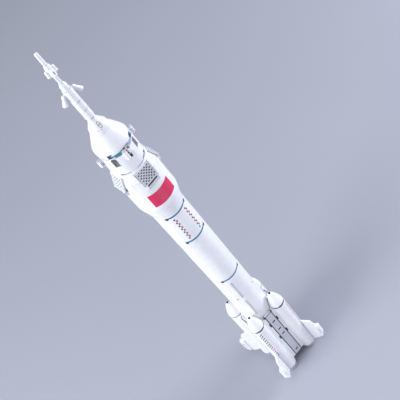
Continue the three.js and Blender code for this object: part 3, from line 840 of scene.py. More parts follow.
@dataclass(frozen=True)
class Nose:
    """The skirt under the tower, the nose cone, and the coloured band under it."""

    neck_radius: float = 3.6
    skirt_radius: float = 8.5
    cone_top_radius: float = 9.0
    shoulder_radius: float = 14.1
    base_radius: float = 16.2
    shoulder_z: float = 429.4
    mark_azimuths: tuple[float, ...] = (-34.0, -12.0, 40.0)
    # first and last azimuth, bottom, height, how far it stands out, place in the band's finishes;
    # place 3 is a painted reflection on the teal, 4 painted shade under the cone's rim, 5 a painted
    # shadow in the gap
    band_parts: tuple[tuple[float, float, float, float, float, int], ...] = (
        (-49.0, -33.0, 420.3, 1.6, 0.2, 1),
        (-33.0, -12.0, 418.9, 3.2, 0.4, 1),
        (13.0, 38.0, 419.3, 2.2, 0.3, 3),
        (-12.0, 22.0, 422.2, 0.35, 0.42, 4),
        (-1.6, 3.0, 421.6, 1.2, 0.5, 5),
        (-53.5, -43.5, 419.7, 4.2, 0.5, 2),
        (-44.0, -38.0, 423.3, 1.0, 0.5, 2),
        (41.0, 54.0, 420.0, 4.2, 0.5, 2),
    )

    def build(self) -> None:
        """Make the skirt, the cone and the band."""
        self.skirt()
        self.cone()
        self.band()

    def skirt(self) -> None:
        """A steep cone with a short neck, an oval hatch at the front, and small marks low down."""
        foot, top = heights("tower_skirt")
        wide, neck = self.skirt_radius, self.neck_radius
        shape = lathe([
            (wide + 0.42, foot, 0.05), (wide + 0.1, foot + 0.9, 0.4), (wide - 0.1, foot + 3.1, 1.2),
            (neck + 0.3, top - 3.4, 0.5), (neck, top - 2.8, 0.3), (neck, top - 0.1, 0.12)], 64)
        hatch = joined([ring_prism(oval(2.9, 6.4, 36), oval(1.9, 5.2, 36), -0.1, 0.07, 0.03),
                        prism(rectangle(2.0, 0.8, 0.2), -0.1, 0.06, 0.03)])
        prints = [self.on_slope(hatch, 0.0, 0.52)]
        prints += [self.on_slope(sheet(1.1, 0.8, 0.0, 0.04, 0.0, 0.2), azimuth, 0.12)
                   for azimuth in self.mark_azimuths]
        make_piece("skirt", joined([shape, *[part.painted(1) for part in prints]]),
                   [WHITE_ABS, MARK_GREY], "tower_skirt")

    def on_slope(self, flat: Shell, azimuth: float, share: float) -> Shell:
        """A flat print laid on the skirt's slope.

        Args:
            flat: the print, about the origin.
            azimuth: where it goes round the skirt.
            share: where it goes up the slope, 0 at its foot and 1 at its top.

        Returns:
            The print in its place.
        """
        low, high = heights("tower_skirt")
        foot = np.array([self.skirt_radius - 0.1, low + 3.1])
        top = np.array([self.neck_radius + 0.3, high - 3.4])
        lean = np.degrees(np.arctan2(foot[0] - top[0], top[1] - foot[1]))
        radius, height = foot + share * (top - foot)
        laid = flat.wrapped(radius).moved(y=radius).tilted(-lean)
        return laid.moved(y=-radius, z=height).turned(azimuth)

    def cone(self) -> None:
        """The nose cone. Its side leaves the base upright and bends smoothly into the slope.

        With s the share of the bend, the slope grows as 3 s^2 - 2 s^3, and the radius falls by its
        integral, s^3 - s^4 / 2, times the straight slope and the bend's length.
        """
        foot, top = heights("nose_cone")
        slope = (self.shoulder_radius - self.cone_top_radius) / (top - self.shoulder_z)
        length = 2 * (self.cone_top_radius + slope * (top - foot) - self.base_radius) / slope
        share = np.linspace(0, 1, 15)
        drop = slope * length * (share**3 - share**4 / 2)
        bend = np.stack([self.base_radius - drop, foot + length * share], 1)[1:]
        profile = np.vstack([[(0, foot), (self.base_radius - 0.12, foot)], bend,
                             [(self.cone_top_radius + 0.1, top - 0.2),
                              (self.cone_top_radius - 0.1, top), (0, top)]])
        make_piece("cone", revolve(profile), [WHITE_ABS], "nose_cone")

    def band(self) -> None:
        """The gap under the cone, on a pale ring: at the front and the back a row of coloured parts
        fills it, with a dark block at each end. A blue-grey arc is a painted reflection on the
        teal, a thin grey line under the cone's rim is painted shade, and a black spot is a painted
        shadow."""
        low, high = heights("nose_band")
        r = self.base_radius - 0.3
        shells = [drum(r, low - 0.3, high + 0.3)]
        for first, last, bottom, height, proud, place in self.band_parts:
            part = arc((first, last), r, bottom + height / 2, height, 0.4, proud, 0.15)
            shells += [part.painted(place).turned(turn) for turn in (0.0, 180.0)]
        make_piece("band_nose", joined(shells), [WHITE_ABS, TEAL_ABS, NAVY_ABS, BAND_REFLECTION_GREY,
                   SHADE_MID_GREY, SHADOW_ABS], "nose_band")


@dataclass(frozen=True)
class UpperFairing:
    """The upper fairing, with four arched windows and four side motors."""

    radius: float = 16.2
    window_width: float = 4.7
    window_bottom: float = 407.8
    window_top: float = 418.7
    window_depth: float = 0.7
    rim: float = 0.8                   # width of a window's frame
    row_step: float = 0.4              # rows of the wall where the windows are
    azimuth_step: float = 1.25
    motor_face: float = 20.2           # the tubes' outermost line from the axis
    # foot and mouth of the tubes, and their distance from the motor's middle
    long_tube: tuple[float, float, float] = (411.6, 421.4, -2.0)
    short_tube: tuple[float, float, float] = (416.4, 421.4, 2.7)
    side_tube: tuple[float, float, float] = (410.3, 417.9, 0.0)
    lines: tuple[float, float] = (17.5, 18.6)    # grey lines beside the web, painted shade on the tube's sides, from the axis
    tube_radius: float = 1.95
    mouth_radius: float = 1.15
    mouth_depth: float = 0.7
    body_face: float = 18.4            # front of the body behind the tubes
    block_face: float = 19.5           # front of the block that the port is in
    # the port: its floor is painted black for the shade inside it
    port_x: float = 0.7
    port_z: float = 414.3
    port_depth: float = 0.4

    def build(self) -> None:
        """Make the fairing's wall, windows and motors."""
        self.wall()
        for corner in Corner:
            self.window(corner)
        for side in Side:
            self.motor(side)

    @property
    def spring(self) -> float:
        """Height where a window's arch starts."""
        return self.window_top - self.window_width / 2

    def arch(self, grow: float) -> Numbers:
        """A window's outline: straight sides and a half circle on top.

        Args:
            grow: margin that it is grown by.

        Returns:
            x and z of its points, anticlockwise.
        """
        half, bottom = self.window_width / 2 + grow, self.window_bottom - grow
        angle = np.radians(np.linspace(0, 180, 19))
        top = np.stack([half * np.cos(angle), self.spring + half * np.sin(angle)], 1)
        left, right = np.array([(-half, bottom), (half, bottom)])
        share = np.linspace(0, 1, 5)[1:-1, None]
        return np.vstack([left, left + share * (right - left), right,
                          right + share * (top[0] - right), top,
                          top[-1] + share * (left - top[-1])])

    def wall(self) -> None:
        """The round wall. Where a window goes it sinks, under the window's frame."""
        low, high = heights("fairing_upper")
        rows = np.concatenate([
            np.linspace(low + 1.2, self.window_bottom - 1, 6),
            np.arange(self.window_bottom - 0.6, self.window_top + 0.7, self.row_step),
            np.linspace(self.window_top + 1, high - 0.6, 4)])
        foot = [(0, low - 0.3), (self.radius - 0.1, low - 0.3), (self.radius, low - 0.1)]
        head = [(self.radius, high - 0.15), (self.radius - 0.15, high), (0, high)]
        profile = np.vstack([foot, np.stack([np.full(len(rows), self.radius), rows], 1), head])

        def carve(azimuth: Numbers, radius: Numbers, height: Numbers) -> Numbers:
            """Sink the wall inside each window's arch, 0.3 mm past the opening.

            Args:
                azimuth: azimuth of each point.
                radius: its radius before.
                height: its height.

            Returns:
                The new radii.
            """
            across = (azimuth % 90 - 45) / 180 * np.pi * self.radius
            above = np.clip(height - self.spring, 0, None)
            inside = across**2 + above**2 < (self.window_width / 2 + 0.3) ** 2
            inside &= (height > self.window_bottom - 0.3) & (radius > self.radius - 0.05)
            return np.where(inside, radius - self.window_depth - 0.8, radius)

        wall = revolve(profile, np.arange(-180, 180, self.azimuth_step), carve)
        make_piece("upper_wall", wall, [WHITE_ABS], "fairing_upper")

    def window(self, corner: Corner) -> None:
        """An arched frame with a smoked pane set back in it.

        Args:
            corner: where it is, between two side motors.
        """
        name, depth = corner.name.lower(), self.window_depth
        rim = ring_prism(self.arch(self.rim), self.arch(0.0), -depth - 0.9, 0.14)
        make_piece(f"window_frame_{name}", rim.wrapped(self.radius, corner.value), [WHITE_ABS])
        pane = prism(self.arch(0.25), -depth - 0.8, -depth, 0.1).moved(y=-self.radius)
        make_piece(f"window_pane_{name}", pane.turned(corner.value), [SMOKED_PANE])

    def tube(self, low: float, high: float, x: float, mouth_shade_place: int) -> list[Shell]:
        """An upright tube with an open mouth, and the floor of its mouth, painted grey for the
        shade inside.

        Args:
            low: height of its foot.
            high: height of its mouth.
            x: its distance from the motor's middle.
            mouth_shade_place: place in the motor's list of the floor's finish, painted shade.

        Returns:
            The tube and the floor.
        """
        r, mouth, floor = self.tube_radius, self.mouth_radius, high - self.mouth_depth
        wall = lathe([(r - 0.5, low, 0.2), (r, low + 1.0, 0.4), (r, high - 0.15, 0.15),
                      (r - 0.25, high, 0.12), (mouth + 0.15, high, 0.12),
                      (mouth, high - 0.3, 0.12), (mouth, floor, 0)], 32)
        shade_plug = drum(mouth + 0.05, floor - 0.1, floor + 1.2, 24).painted(mouth_shade_place)
        return [part.moved(x, r - self.motor_face) for part in (wall, shade_plug)]

    def motor(self, side: Side) -> None:
        """A side motor. At the front and back a long and a short open tube stand on a body, with a
        port in a block under the short one. At the left and right one tube stands on a web. The
        mouths' floors, the body, two small blocks between the tubes and the port's floor are
        painted grey and black for shade, and at the sides grey lines beside the web are painted
        shade.

        Args:
            side: the side that it stands on.
        """
        back, x, z = self.radius - 0.6, self.port_x, self.port_z
        if side in (Side.FRONT, Side.BACK):
            # painted shade: the long tube's mouth floor pale grey, the short one's mid grey
            shells = [*self.tube(*self.long_tube, 3), *self.tube(*self.short_tube, 1),
                      # painted shade: the body pale grey, the two small blocks and the port's floor
                      # black
                      prism(rectangle(7.6, 8.9, 0.3, 0.35, 416.2), back, self.body_face,
                            0.25).painted(3),
                      box(0.9, 0.8, 0.6, 0.35, -self.body_face - 0.3, 420.6, 0.1).painted(2),
                      box(1.6, 0.9, 1.2, 0.75, -self.body_face, 417.2, 0.1).painted(2),
                      ring_prism(rectangle(5.2, 5.0, 0.3, 2.0, z - 0.2),
                                 rectangle(2.2, 4.2, 0.3, x, z), back, self.block_face),
                      prism(rectangle(2.6, 4.5, 0.3, x, z), back,
                            self.block_face - self.port_depth, 0.05).painted(2)]
        else:
            # painted shade: the tube's mouth floor pale grey, and grey lines on both sides of the
            # web
            shells = [*self.tube(*self.side_tube, 3),
                      prism(rectangle(2.2, 5.6, 0.2, 0.0, 414.1), back, self.body_face)]
            shells += [box(0.35, 0.4, 4.8, edge * 1.85, -reach, 414.0, 0.1).painted(1)
                       for reach in self.lines for edge in (-1, 1)]
        name = side.name.lower()
        make_piece(f"motor_{name}", joined(shells).turned(side.value),
                   [WHITE_ABS, SHADE_MID_GREY, SHADOW_ABS, PALE_GREY_AND_SHADE], f"side_motor_{name}")


@dataclass(frozen=True)
class GridFins:
    """The folding grid fins, each a lattice panel on a hinge barrel, and their brackets."""

    hinge_radius: float = 20.6
    hinge_z: float = 378.6
    lean: float = float(np.degrees(np.arctan(0.354)))
    width: float = 14.6
    length: float = 15.4
    thick: float = 1.4
    pitch_across: float = 3.2
    row_height: float = 1.6
    row_count: int = 8
    row_holes: int = 4
    foot: float = 2.5                  # first row above the hinge
    hole_width: float = 2.1
    hole_height: float = 1.56
    # depth of the pale part of a hole's wall, below which it is painted shade: at the front and
    # back, at the left and right
    lips: tuple[float, float] = (0.3, 1.1)
    pin: tuple[float, float] = (-5.0, 6.0)   # ends of the pin in the hinge, painted dark at the front and back for the shadow in the hinge gap
    rim: float = 1.0                   # rim at the panel's free end, painted white as a highlight on its lit edge
    shade_floor_lift: float = 0.15           # painted shade: dark floor of the holes at the front and back, from the panel's back
    shade_floor_thick: float = 0.2
    barrel_radius: float = 1.0
    bracket_width: float = 13.4
    bracket_inner: float = 18.4
    bracket_foot: float = 20.1         # outer face at the foot
    bracket_outer: float = 21.3        # outer face at the top

    def build(self) -> None:
        """Make the fin and the bracket of each side."""
        for side in Side:
            self.fin(side)
            self.bracket(side)

    def lattice(self, lip: float) -> Shell:
        """The panel with its staggered diamond holes.

        The panel is a grid of half cells. In the frame, at the right end of the first row and at
        the left end of the next, and so on, a half cell is solid. Elsewhere it holds the left or
        the right half of a diamond, by whether its column and row add up to an even number, with
        three faces between the diamond and its border. Like corners are merged.

        Args:
            lip: depth that the walls of the holes stay pale for.

        Returns:
            A closed surface that stands on the hinge's line.
        """
        a, u = self.pitch_across / 2, self.row_height / 2
        reach = (self.row_holes + 0.5) * a
        columns = np.concatenate([[-self.width / 2], np.arange(2 * self.row_holes + 2) * a - reach,
                                  [self.width / 2]])
        rows = np.concatenate([[0], self.foot - u + np.arange(self.row_count + 1) * 2 * u,
                               [self.length]])
        solid = np.ones((len(rows) - 1, len(columns) - 1), bool)
        solid[1:-1, 1:-1] = False
        solid[1:-1:2, -2] = solid[2:-1:2, 1] = True
        x, z = np.meshgrid(columns, rows)
        row, column = np.nonzero(~solid[1:-1, 1:-1])
        is_left = (row + column) % 2 == 0
        centre = np.stack([(column + is_left) * a - reach, self.foot + row * 2 * u], 1)
        hx, hz = self.hole_width / 2, self.hole_height / 2
        half = np.array([(-a, -u), (0, -u), (0, u), (-a, u), (0, -hz), (0, hz), (-hx, 0)])
        left_faces = np.array([(0, 1, 4, 6), (2, 3, 6, 5), (0, 6, 3, -1)])
        right_faces = np.array([(1, 0, 6, 4), (3, 2, 5, 6), (6, 0, 3, -1)])
        flip = np.where(is_left, 1.0, -1.0)[:, None, None] * [1.0, 0] + [0, 1.0]
        cells = centre[:, None] + half * flip
        faces = np.where(is_left[:, None, None], left_faces, right_faces)
        start = (x.size + np.arange(len(cells)) * len(half))[:, None, None]
        faces = np.where(faces < 0, -1, faces + start).reshape(-1, 4)
        points = np.concatenate([np.stack([x.ravel(), z.ravel()], 1), cells.reshape(-1, 2)])
        merged, place = np.unique(np.round(points, 4), axis=0, return_inverse=True)
        faces = np.concatenate([grid_quads(*x.shape)[solid], faces])
        faces = np.where(faces < 0, -1, place.ravel()[faces])
        return thicken(merged, faces, -self.thick / 2, self.thick / 2, lip)

    def fin(self, side: Side) -> None:
        """The panel and its barrel, leaning against the flare, on the fin's own body. At the front
        and the back the deep hole walls, a floor in the holes and the pin are painted dark for
        shade. At the left and right, which face the lamps, the panel is painted paler, as painted
        light.

        Args:
            side: the side that it is hinged to.
        """
        name, sideways = side.name.lower(), side in (Side.LEFT, Side.RIGHT)
        half, back = (self.width - 1) / 2, -self.thick / 2
        pin_round, lug_round = [oval(size, size, 24) for size in (1.7 * self.barrel_radius,
                                                                  2 * self.barrel_radius)]
        # the pin takes the second finish: painted shadow of the hinge gap at the front and back
        barrel = [prism(pin_round, -self.pin[1], -self.pin[0], 0.1).painted(1),
                  prism(lug_round, -half, -self.pin[1]), prism(lug_round, -self.pin[0], half)]
        panel = self.lattice(self.lips[sideways])
        middle = (panel.points[panel.faces[:, 0], 2] + panel.points[panel.faces[:, 2], 2]) / 2
        # painted highlight: the free rim of the panel in white
        panel = replace(panel, paint=np.where(middle > self.length - self.rim, 2, panel.paint))
        parts = [panel, joined(barrel).turned(90.0)]
        # painted light: the side fins take paler copies of the front fins' colours, as they face
        # the lamps
        finishes = [PALE_ABS, PALE_GREY_AND_SHADE, WHITE_ABS]
        # front and back: painted shade on the deep hole walls, the pin and a dark floor in the
        # holes
        if not sideways:
            finishes = [PALE_GREY_AND_SHADE, LATTICE_HOLE_SHADE, WHITE_ABS]
            floor = rectangle(self.width - 0.8, self.length - 2.2, 0.2, z=self.length / 2 + 0.4)
            low = back + self.shade_floor_lift
            parts.append(prism(floor, low, low + self.shade_floor_thick, 0.05).painted(1))
        shape = joined(parts).tilted(-self.lean).moved(y=-self.hinge_radius, z=self.hinge_z)
        make_piece(f"lattice_fin_{name}", shape.turned(side.value), finishes, f"grid_fin_{name}",
                   f"grid_fin_{name}", 0.1)

    def bracket(self, side: Side) -> None:
        """The wedge under the barrel: an outline of distance from the axis and height. It is
        painted off-white for the shade on its face.

        Args:
            side: the side that it stands on.
        """
        name = side.name.lower()
        foot, top = heights(f"fin_bracket_{name}")
        outline = rounded([(self.bracket_inner, foot, 0.2), (self.bracket_foot, foot, 0.1),
                           (self.bracket_outer, top, 0.25), (self.bracket_inner, top, 0.2)], True)
        wedge = prism(outline, -self.bracket_width / 2, self.bracket_width / 2)
        # painted shade: off-white instead of white
        make_piece(f"hinge_block_{name}", wedge.turned(side.value - 90.0), [PALE_ABS],
                   f"fin_bracket_{name}")


@dataclass(frozen=True)
class LowerFairing:
    """The flare, the lower fairing with its red field, and the boat tail."""

    radius: float = 19.8
    top_radius: float = 16.2
    core_radius: float = 16.0
    field_width: float = 25.3
    field_low: float = 348.5
    field_high: float = 365.6
    seam_depth: float = 0.18
    seam_half: float = 0.45            # half of a seam's width, in degrees
    wall_lines: int = 360              # azimuth lines of the walls that hold the seats
    narrow_seat: float = 7.6           # half width of a fin's seat at the front and back
    wide_seat: float = 12.0            # half width at the left and right
    seat_wall: float = 17.9            # upright part of a fin's seat, from the axis
    seat_foot: float = 376.8
    seat_back: float = 1.3             # slanted part of the seat behind the fin's middle
    fins: GridFins = GridFins()
    # marks painted over the flare for the shade in its slots and along its top joint: first and
    # last azimuth, height, how tall, place in the finishes
    joint_shade_marks: tuple[tuple[float, float, float, float, int], ...] = (
        (-56.0, -50.5, 397.7, 1.6, 1),
        (-50.5, -27.0, 397.2, 0.7, 2),
        (28.0, 52.0, 397.4, 1.8, 2),
        (43.0, 52.0, 398.3, 1.7, 1),
        (-5.0, 28.0, 396.7, 0.45, 2),
    )
    finishes: tuple[Finish, ...] = (WHITE_ABS, DARK_GREY_AND_SHADE, MARK_GREY, PALE_GREY_AND_SHADE)

    def build(self) -> None:
        """Make the three bodies and the print."""
        self.flare()
        self.lower_wall()
        self.red_field()
        self.boat_tail()

    def seats(self, azimuth: Numbers, radius: Numbers, height: Numbers) -> Numbers:
        """Radii of the wall with the panel seams and with a flat seat behind each grid fin.

        With t the fin's lean, R and H its hinge, b the seat's distance behind the fin's middle and
        s the length of the seat, the slanted plane is at radius
        R - b cos t - (z - H + b sin t) tan t, and it ends at the ceiling, where
        (z - H) cos t + (R - radius) sin t = s. A plane at radius p cuts the wall at p / cos a, with
        a the azimuth from the fin's own, and at p tan a to the side of the fin's middle.

        Args:
            azimuth: azimuth of each point of the wall.
            radius: its radius with no seat.
            height: its height.

        Returns:
            The new radii.
        """
        radius = seam_carver(self.seam_depth)(azimuth, radius, height)
        t, rise = np.radians(self.fins.lean), height - self.fins.hinge_z
        slant = (self.fins.hinge_radius - self.seat_back * np.cos(t)
                 - (rise + self.seat_back * np.sin(t)) * np.tan(t))
        ceiling = self.fins.hinge_radius - (self.fins.length + 0.4 - rise * np.cos(t)) / np.sin(t)
        plane = np.minimum(self.seat_wall, np.maximum(slant, ceiling))
        away = np.radians((azimuth + 45) % 90 - 45)
        half = np.where(np.abs((azimuth + 90) % 180 - 90) < 45, self.narrow_seat, self.wide_seat)
        inside = (height > self.seat_foot) & (plane * np.abs(np.tan(away)) <= half)
        return np.where(inside, np.minimum(radius, plane / np.cos(away)), radius)

    def shaded(self, shell: Shell) -> Shell:
        """The wall with a line of painted shade where a seat at the left or right runs out into it.

        Args:
            shell: the wall with its seats.

        Returns:
            The wall, with the faces of that line painted.
        """
        corners = np.where(shell.faces < 0, shell.faces[:, :1], shell.faces)
        x, y, height = shell.points[corners].mean(1).T
        radius = np.hypot(x, y)
        low, high = heights("fairing_flare")
        slope = (self.radius - self.top_radius) / (high - low)
        depth = self.radius - np.clip(height - low, 0, None) * slope - radius
        # painted shade: pale grey along the edge of the left and right seats
        line = (height > self.seat_foot) & (depth > 0.04) & (depth < 0.4) & (radius > 9.0)
        return replace(shell, paint=np.where(line & (np.abs(x) > np.abs(y)), 3, shell.paint))

    def flare(self) -> None:
        """The cone from the lower fairing up to the upper one, and the marks of painted shade over
        it.
        """
        low, high = heights("fairing_flare")
        foot = np.array([self.radius, low + 0.15])
        top = np.array([self.top_radius + 0.15, high - 0.6])
        slope = foot + np.linspace(0.02, 0.98, 36)[:, None] * (top - foot)
        profile = np.vstack([[(0, low - 0.1), (self.radius - 0.2, low - 0.1), foot], slope,
                             [top, (self.top_radius - 0.1, high), (0, high)]])
        lines = azimuth_lines(self.wall_lines, self.seam_half)
        shells = [self.shaded(revolve(profile, lines, self.seats))]
        for first, last, middle, height, place in self.joint_shade_marks:
            radius = np.interp(middle - height / 2, [foot[1], top[1]], [foot[0], top[0]])
            # painted shade: dark and grey marks for the slots and the joint
            part = arc((first, last), radius, middle, height, 0.4, 0.12, min(0.3, height / 3))
            shells += [part.painted(place).turned(turn) for turn in (0.0, 180.0)]
        make_piece("flare", joined(shells), self.finishes, "fairing_flare")

    def lower_wall(self) -> None:
        """The upright wall, with closer rows where the seats cut into it."""
        low, high = heights("fairing_lower")
        rows = np.concatenate([[low + 0.15, 360, self.seat_foot - 0.25, self.seat_foot - 0.01],
                               np.arange(self.seat_foot + 0.01, high - 0.3, 0.5), [high - 0.2]])
        profile = np.vstack([[(0, low - 0.1), (self.radius - 0.2, low - 0.1)],
                             np.stack([np.full(len(rows), self.radius), rows], 1),
                             [(self.radius - 0.2, high), (0, high)]])
        lines = azimuth_lines(self.wall_lines, self.seam_half)
        make_piece("lower_wall", self.shaded(revolve(profile, lines, self.seats)), self.finishes,
                   "fairing_lower")

    def red_field(self) -> None:
        """The plain red field printed on the front."""
        field = sheet(self.field_width, self.field_high - self.field_low, -0.1, 0.04,
                      (self.field_low + self.field_high) / 2, 0.3)
        make_piece("red_field", field.wrapped(self.radius), [FLAG_RED])

    def boat_tail(self) -> None:
        """The cone from the fairing down to the core."""
        low, high = heights("boat_tail")
        wide, slim = self.radius, self.core_radius
        cone = lathe([(slim, low - 0.2, 0), (slim, low + 0.9, 0.4), (wide - 0.25, high - 1.5, 0.5),
                      (wide, high - 0.15, 0.15), (wide - 0.2, high, 0.05)],
                     azimuth_lines(ROUND, self.seam_half), seam_carver(self.seam_depth))
        make_piece("tail_cone", cone, [WHITE_ABS], "boat_tail")


@dataclass(frozen=True)
class Core:
    """The core: six tubes of quarter panels, three coloured bands, the duct and the prints."""

    radius: float = 16.0
    joint: float = 0.14                # half height of a plain joint
    seam_depth: float = 0.16
    seam_half: float = 0.5             # half of a seam's width, in degrees
    cover_half: float = 43.4           # half of the angle that a band's side cover spans
    dot_width: float = 1.45
    dot_height: float = 2.4
    dot_pitch: float = 5.3             # every second row stands in the same column
    dot_columns: float = 1.4           # distance between a stripe's two columns
    hole_z: float = 160.5              # a pin hole in each panel joint, painted as a dark dot for its shade
    stripe_azimuths: tuple[float, float] = (-24.0, 27.0)
    duct_azimuth: float = -25.5
    duct_width: float = 1.5
    duct_depth: float = 2.2
    duct_face: float = 16.8

    def build(self) -> None:
        """Make the tubes, the bands, the stripes and the duct."""
        for level in ("section_1", "section_2", "section_3", "section_4", "section_5", "tail"):
            self.tube(level)
        for level in ("upper", "middle", "lower"):
            self.band(level)
        for number, azimuth in enumerate(self.stripe_azimuths, 1):
            self.stripe(number, azimuth)
        for level in ("upper", "lower"):
            self.duct(level)

    def tube(self, level: str) -> None:
        """One tube: its rims are rounded off, and its quarter panels meet in four fine grooves.

        Args:
            level: the end of its CAD node's name.
        """
        low, high = heights(f"core_{level}")
        foot, top, r = low - 0.3 + self.joint, high - self.joint, self.radius
        shape = lathe([(r - 0.5, foot, 0), (r, foot, 0.16), (r, top, 0.16), (r - 0.5, top, 0)],
                      azimuth_lines(ROUND, self.seam_half), seam_carver(self.seam_depth))
        shells = [shape, drum(r - 0.35, foot - 0.3, top + 0.1)]
        if foot < self.hole_z < top:
            # painted shade: a dark dot for each pin hole
            shells += [mark(oval(1.5, 1.9, 16, self.hole_z), 0.3, 0.03, r, seam).painted(1)
                       for seam in SEAM_AZIMUTHS]
        make_piece(f"tube_{level}", joined(shells), [WHITE_ABS, DARK_GREY_AND_SHADE], f"core_{level}")

    def band(self, level: str) -> None:
        """A coloured band: inner bricks that show at the front and back, a pale cover over them at
        the sides, and at each corner between a navy mark, painted shade for a hollow.

        Args:
            level: the end of its CAD node's name.
        """
        low, top = heights(f"core_band_{level}")
        foot, r = low - 0.3, self.radius
        middle, height = (foot + top) / 2, top - foot - 2 * self.joint
        shells = [drum(r - 0.1, foot, top)]
        for side in (90.0, -90.0):
            ends = (side - self.cover_half, side + self.cover_half)
            shells.append(arc(ends, r, middle, height, 0.6, 0.0, 0.15).painted(1))
        # painted shade: a navy mark at each corner
        hollow = rectangle(2.6, 3.2, 0.5, z=middle - 0.5)
        shells += [mark(hollow, 0.4, 0.04, r, seam, 0.03).painted(2) for seam in SEAM_AZIMUTHS]
        make_piece(f"band_{level}", joined(shells), [STEEL_BLUE_ABS, WHITE_ABS, NAVY_ABS],
                   f"core_band_{level}")

    def stripe(self, number: int, azimuth: float) -> None:
        """Dots in two columns that take turns, printed on the first tube.

        Args:
            number: the stripe's number.
            azimuth: azimuth between its two columns.
        """
        low, high = heights("core_section_1")
        dots = []
        for row, height in enumerate(np.arange(low + 4.0, high - 2.5, self.dot_pitch / 2)):
            across = self.dot_columns / 2 * (1 if row % 2 else -1)
            dot = rectangle(self.dot_width, self.dot_height, 0.35, across, height)
            dots.append(mark(dot, 0.05, 0.03, self.radius, azimuth))
        make_piece(f"stripe_{number}", joined(dots), [CRIMSON])

    def duct(self, level: str) -> None:
        """A half-round bar down the core.

        Args:
            level: the end of its CAD node's name.
        """
        low, high = heights(f"cable_duct_{level}")
        bar = box(self.duct_width, self.duct_depth, high - low, 0,
                  self.duct_depth / 2 - self.duct_face, (low + high) / 2, 0.45)
        make_piece(f"duct_{level}", bar.turned(self.duct_azimuth), [PALE_GREY_AND_SHADE],
                   f"cable_duct_{level}")


@dataclass(frozen=True)
class Tail:
    """The flat strips between the boosters, with their vents, gap lines and clips; the dark in the
    vents and gaps is painted shade.
    """

    half: float = 4.1
    face: float = 19.6
    back: float = 16.6
    plate: float = 0.9                 # thickness of the front plate
    vent_width: float = 3.6
    vent_height: float = 2.1
    vent_heights: tuple[float, ...] = (21.6, 65.0, 76.7, 95.0)
    clip_heights: tuple[float, ...] = (94.5, 64.0)
    clip_width: float = 2.2
    clip_height: float = 7.2
    gap_half: float = 5.3

    def build(self) -> None:
        """Make the strip of each side."""
        for side in Side:
            self.strip(side)

    def strip(self, side: Side) -> None:
        """A plate with slots over a bar, in a channel, with a pale cap on top. The slots' walls are
        painted dark for shade. At the front and the back the bar and the channel are painted black
        for the shade in the slots and gaps, with a dark clip at each gap; at the left and right
        they stay pale.

        Args:
            side: the side that it is on.
        """
        name, w = side.name.lower(), self.half
        foot, top = heights(f"tail_strip_{name}")
        slots = [z + end * self.vent_height / 2 for z in self.vent_heights for end in (-1, 1)]
        x, z = np.meshgrid([-w, -self.vent_width / 2, self.vent_width / 2, w], [foot, *slots, top])
        solid = np.ones((len(slots) + 1, 3), bool)
        solid[1::2, 1] = False
        plate = thicken(np.stack([x.ravel(), z.ravel()], 1), grid_quads(*x.shape)[solid],
                        self.face - self.plate, self.face)
        seen, middle, height = side in (Side.FRONT, Side.BACK), (foot + top) / 2, top - foot
        # painted shade: the bar and channel black at the front and back, pale at the sides
        under = 2 if seen else 3
        bar_depth, cap_depth = self.face - self.plate - self.back, self.face - self.back + 0.4
        shells = [
            plate,
            box(2 * w - 0.2, bar_depth, height - 0.4, 0, -self.back - bar_depth / 2, middle,
                0.1).painted(under),
            box(2 * self.gap_half + 0.4, 0.8, height - 2, 0, 2.1 - self.face, middle - 1,
                0.1).painted(under),
            box(2 * w, cap_depth, 0.6, 0, cap_depth / 2 - self.face + 0.05, top - 0.3,
                0.1).painted(3)]
        shells += [box(self.clip_width, 1.8, self.clip_height, across * (w + 1.2), 0.8 - self.face,
                       clip).painted(2)
                   for clip in self.clip_heights for across in (-1, 1) if seen]
        make_piece(f"strip_{name}", joined(shells).turned(side.value),
                   [GREY_ABS, DARK_GREY_AND_SHADE, SHADOW_ABS, PALE_ABS], f"tail_strip_{name}",
                   bevel=0.12)


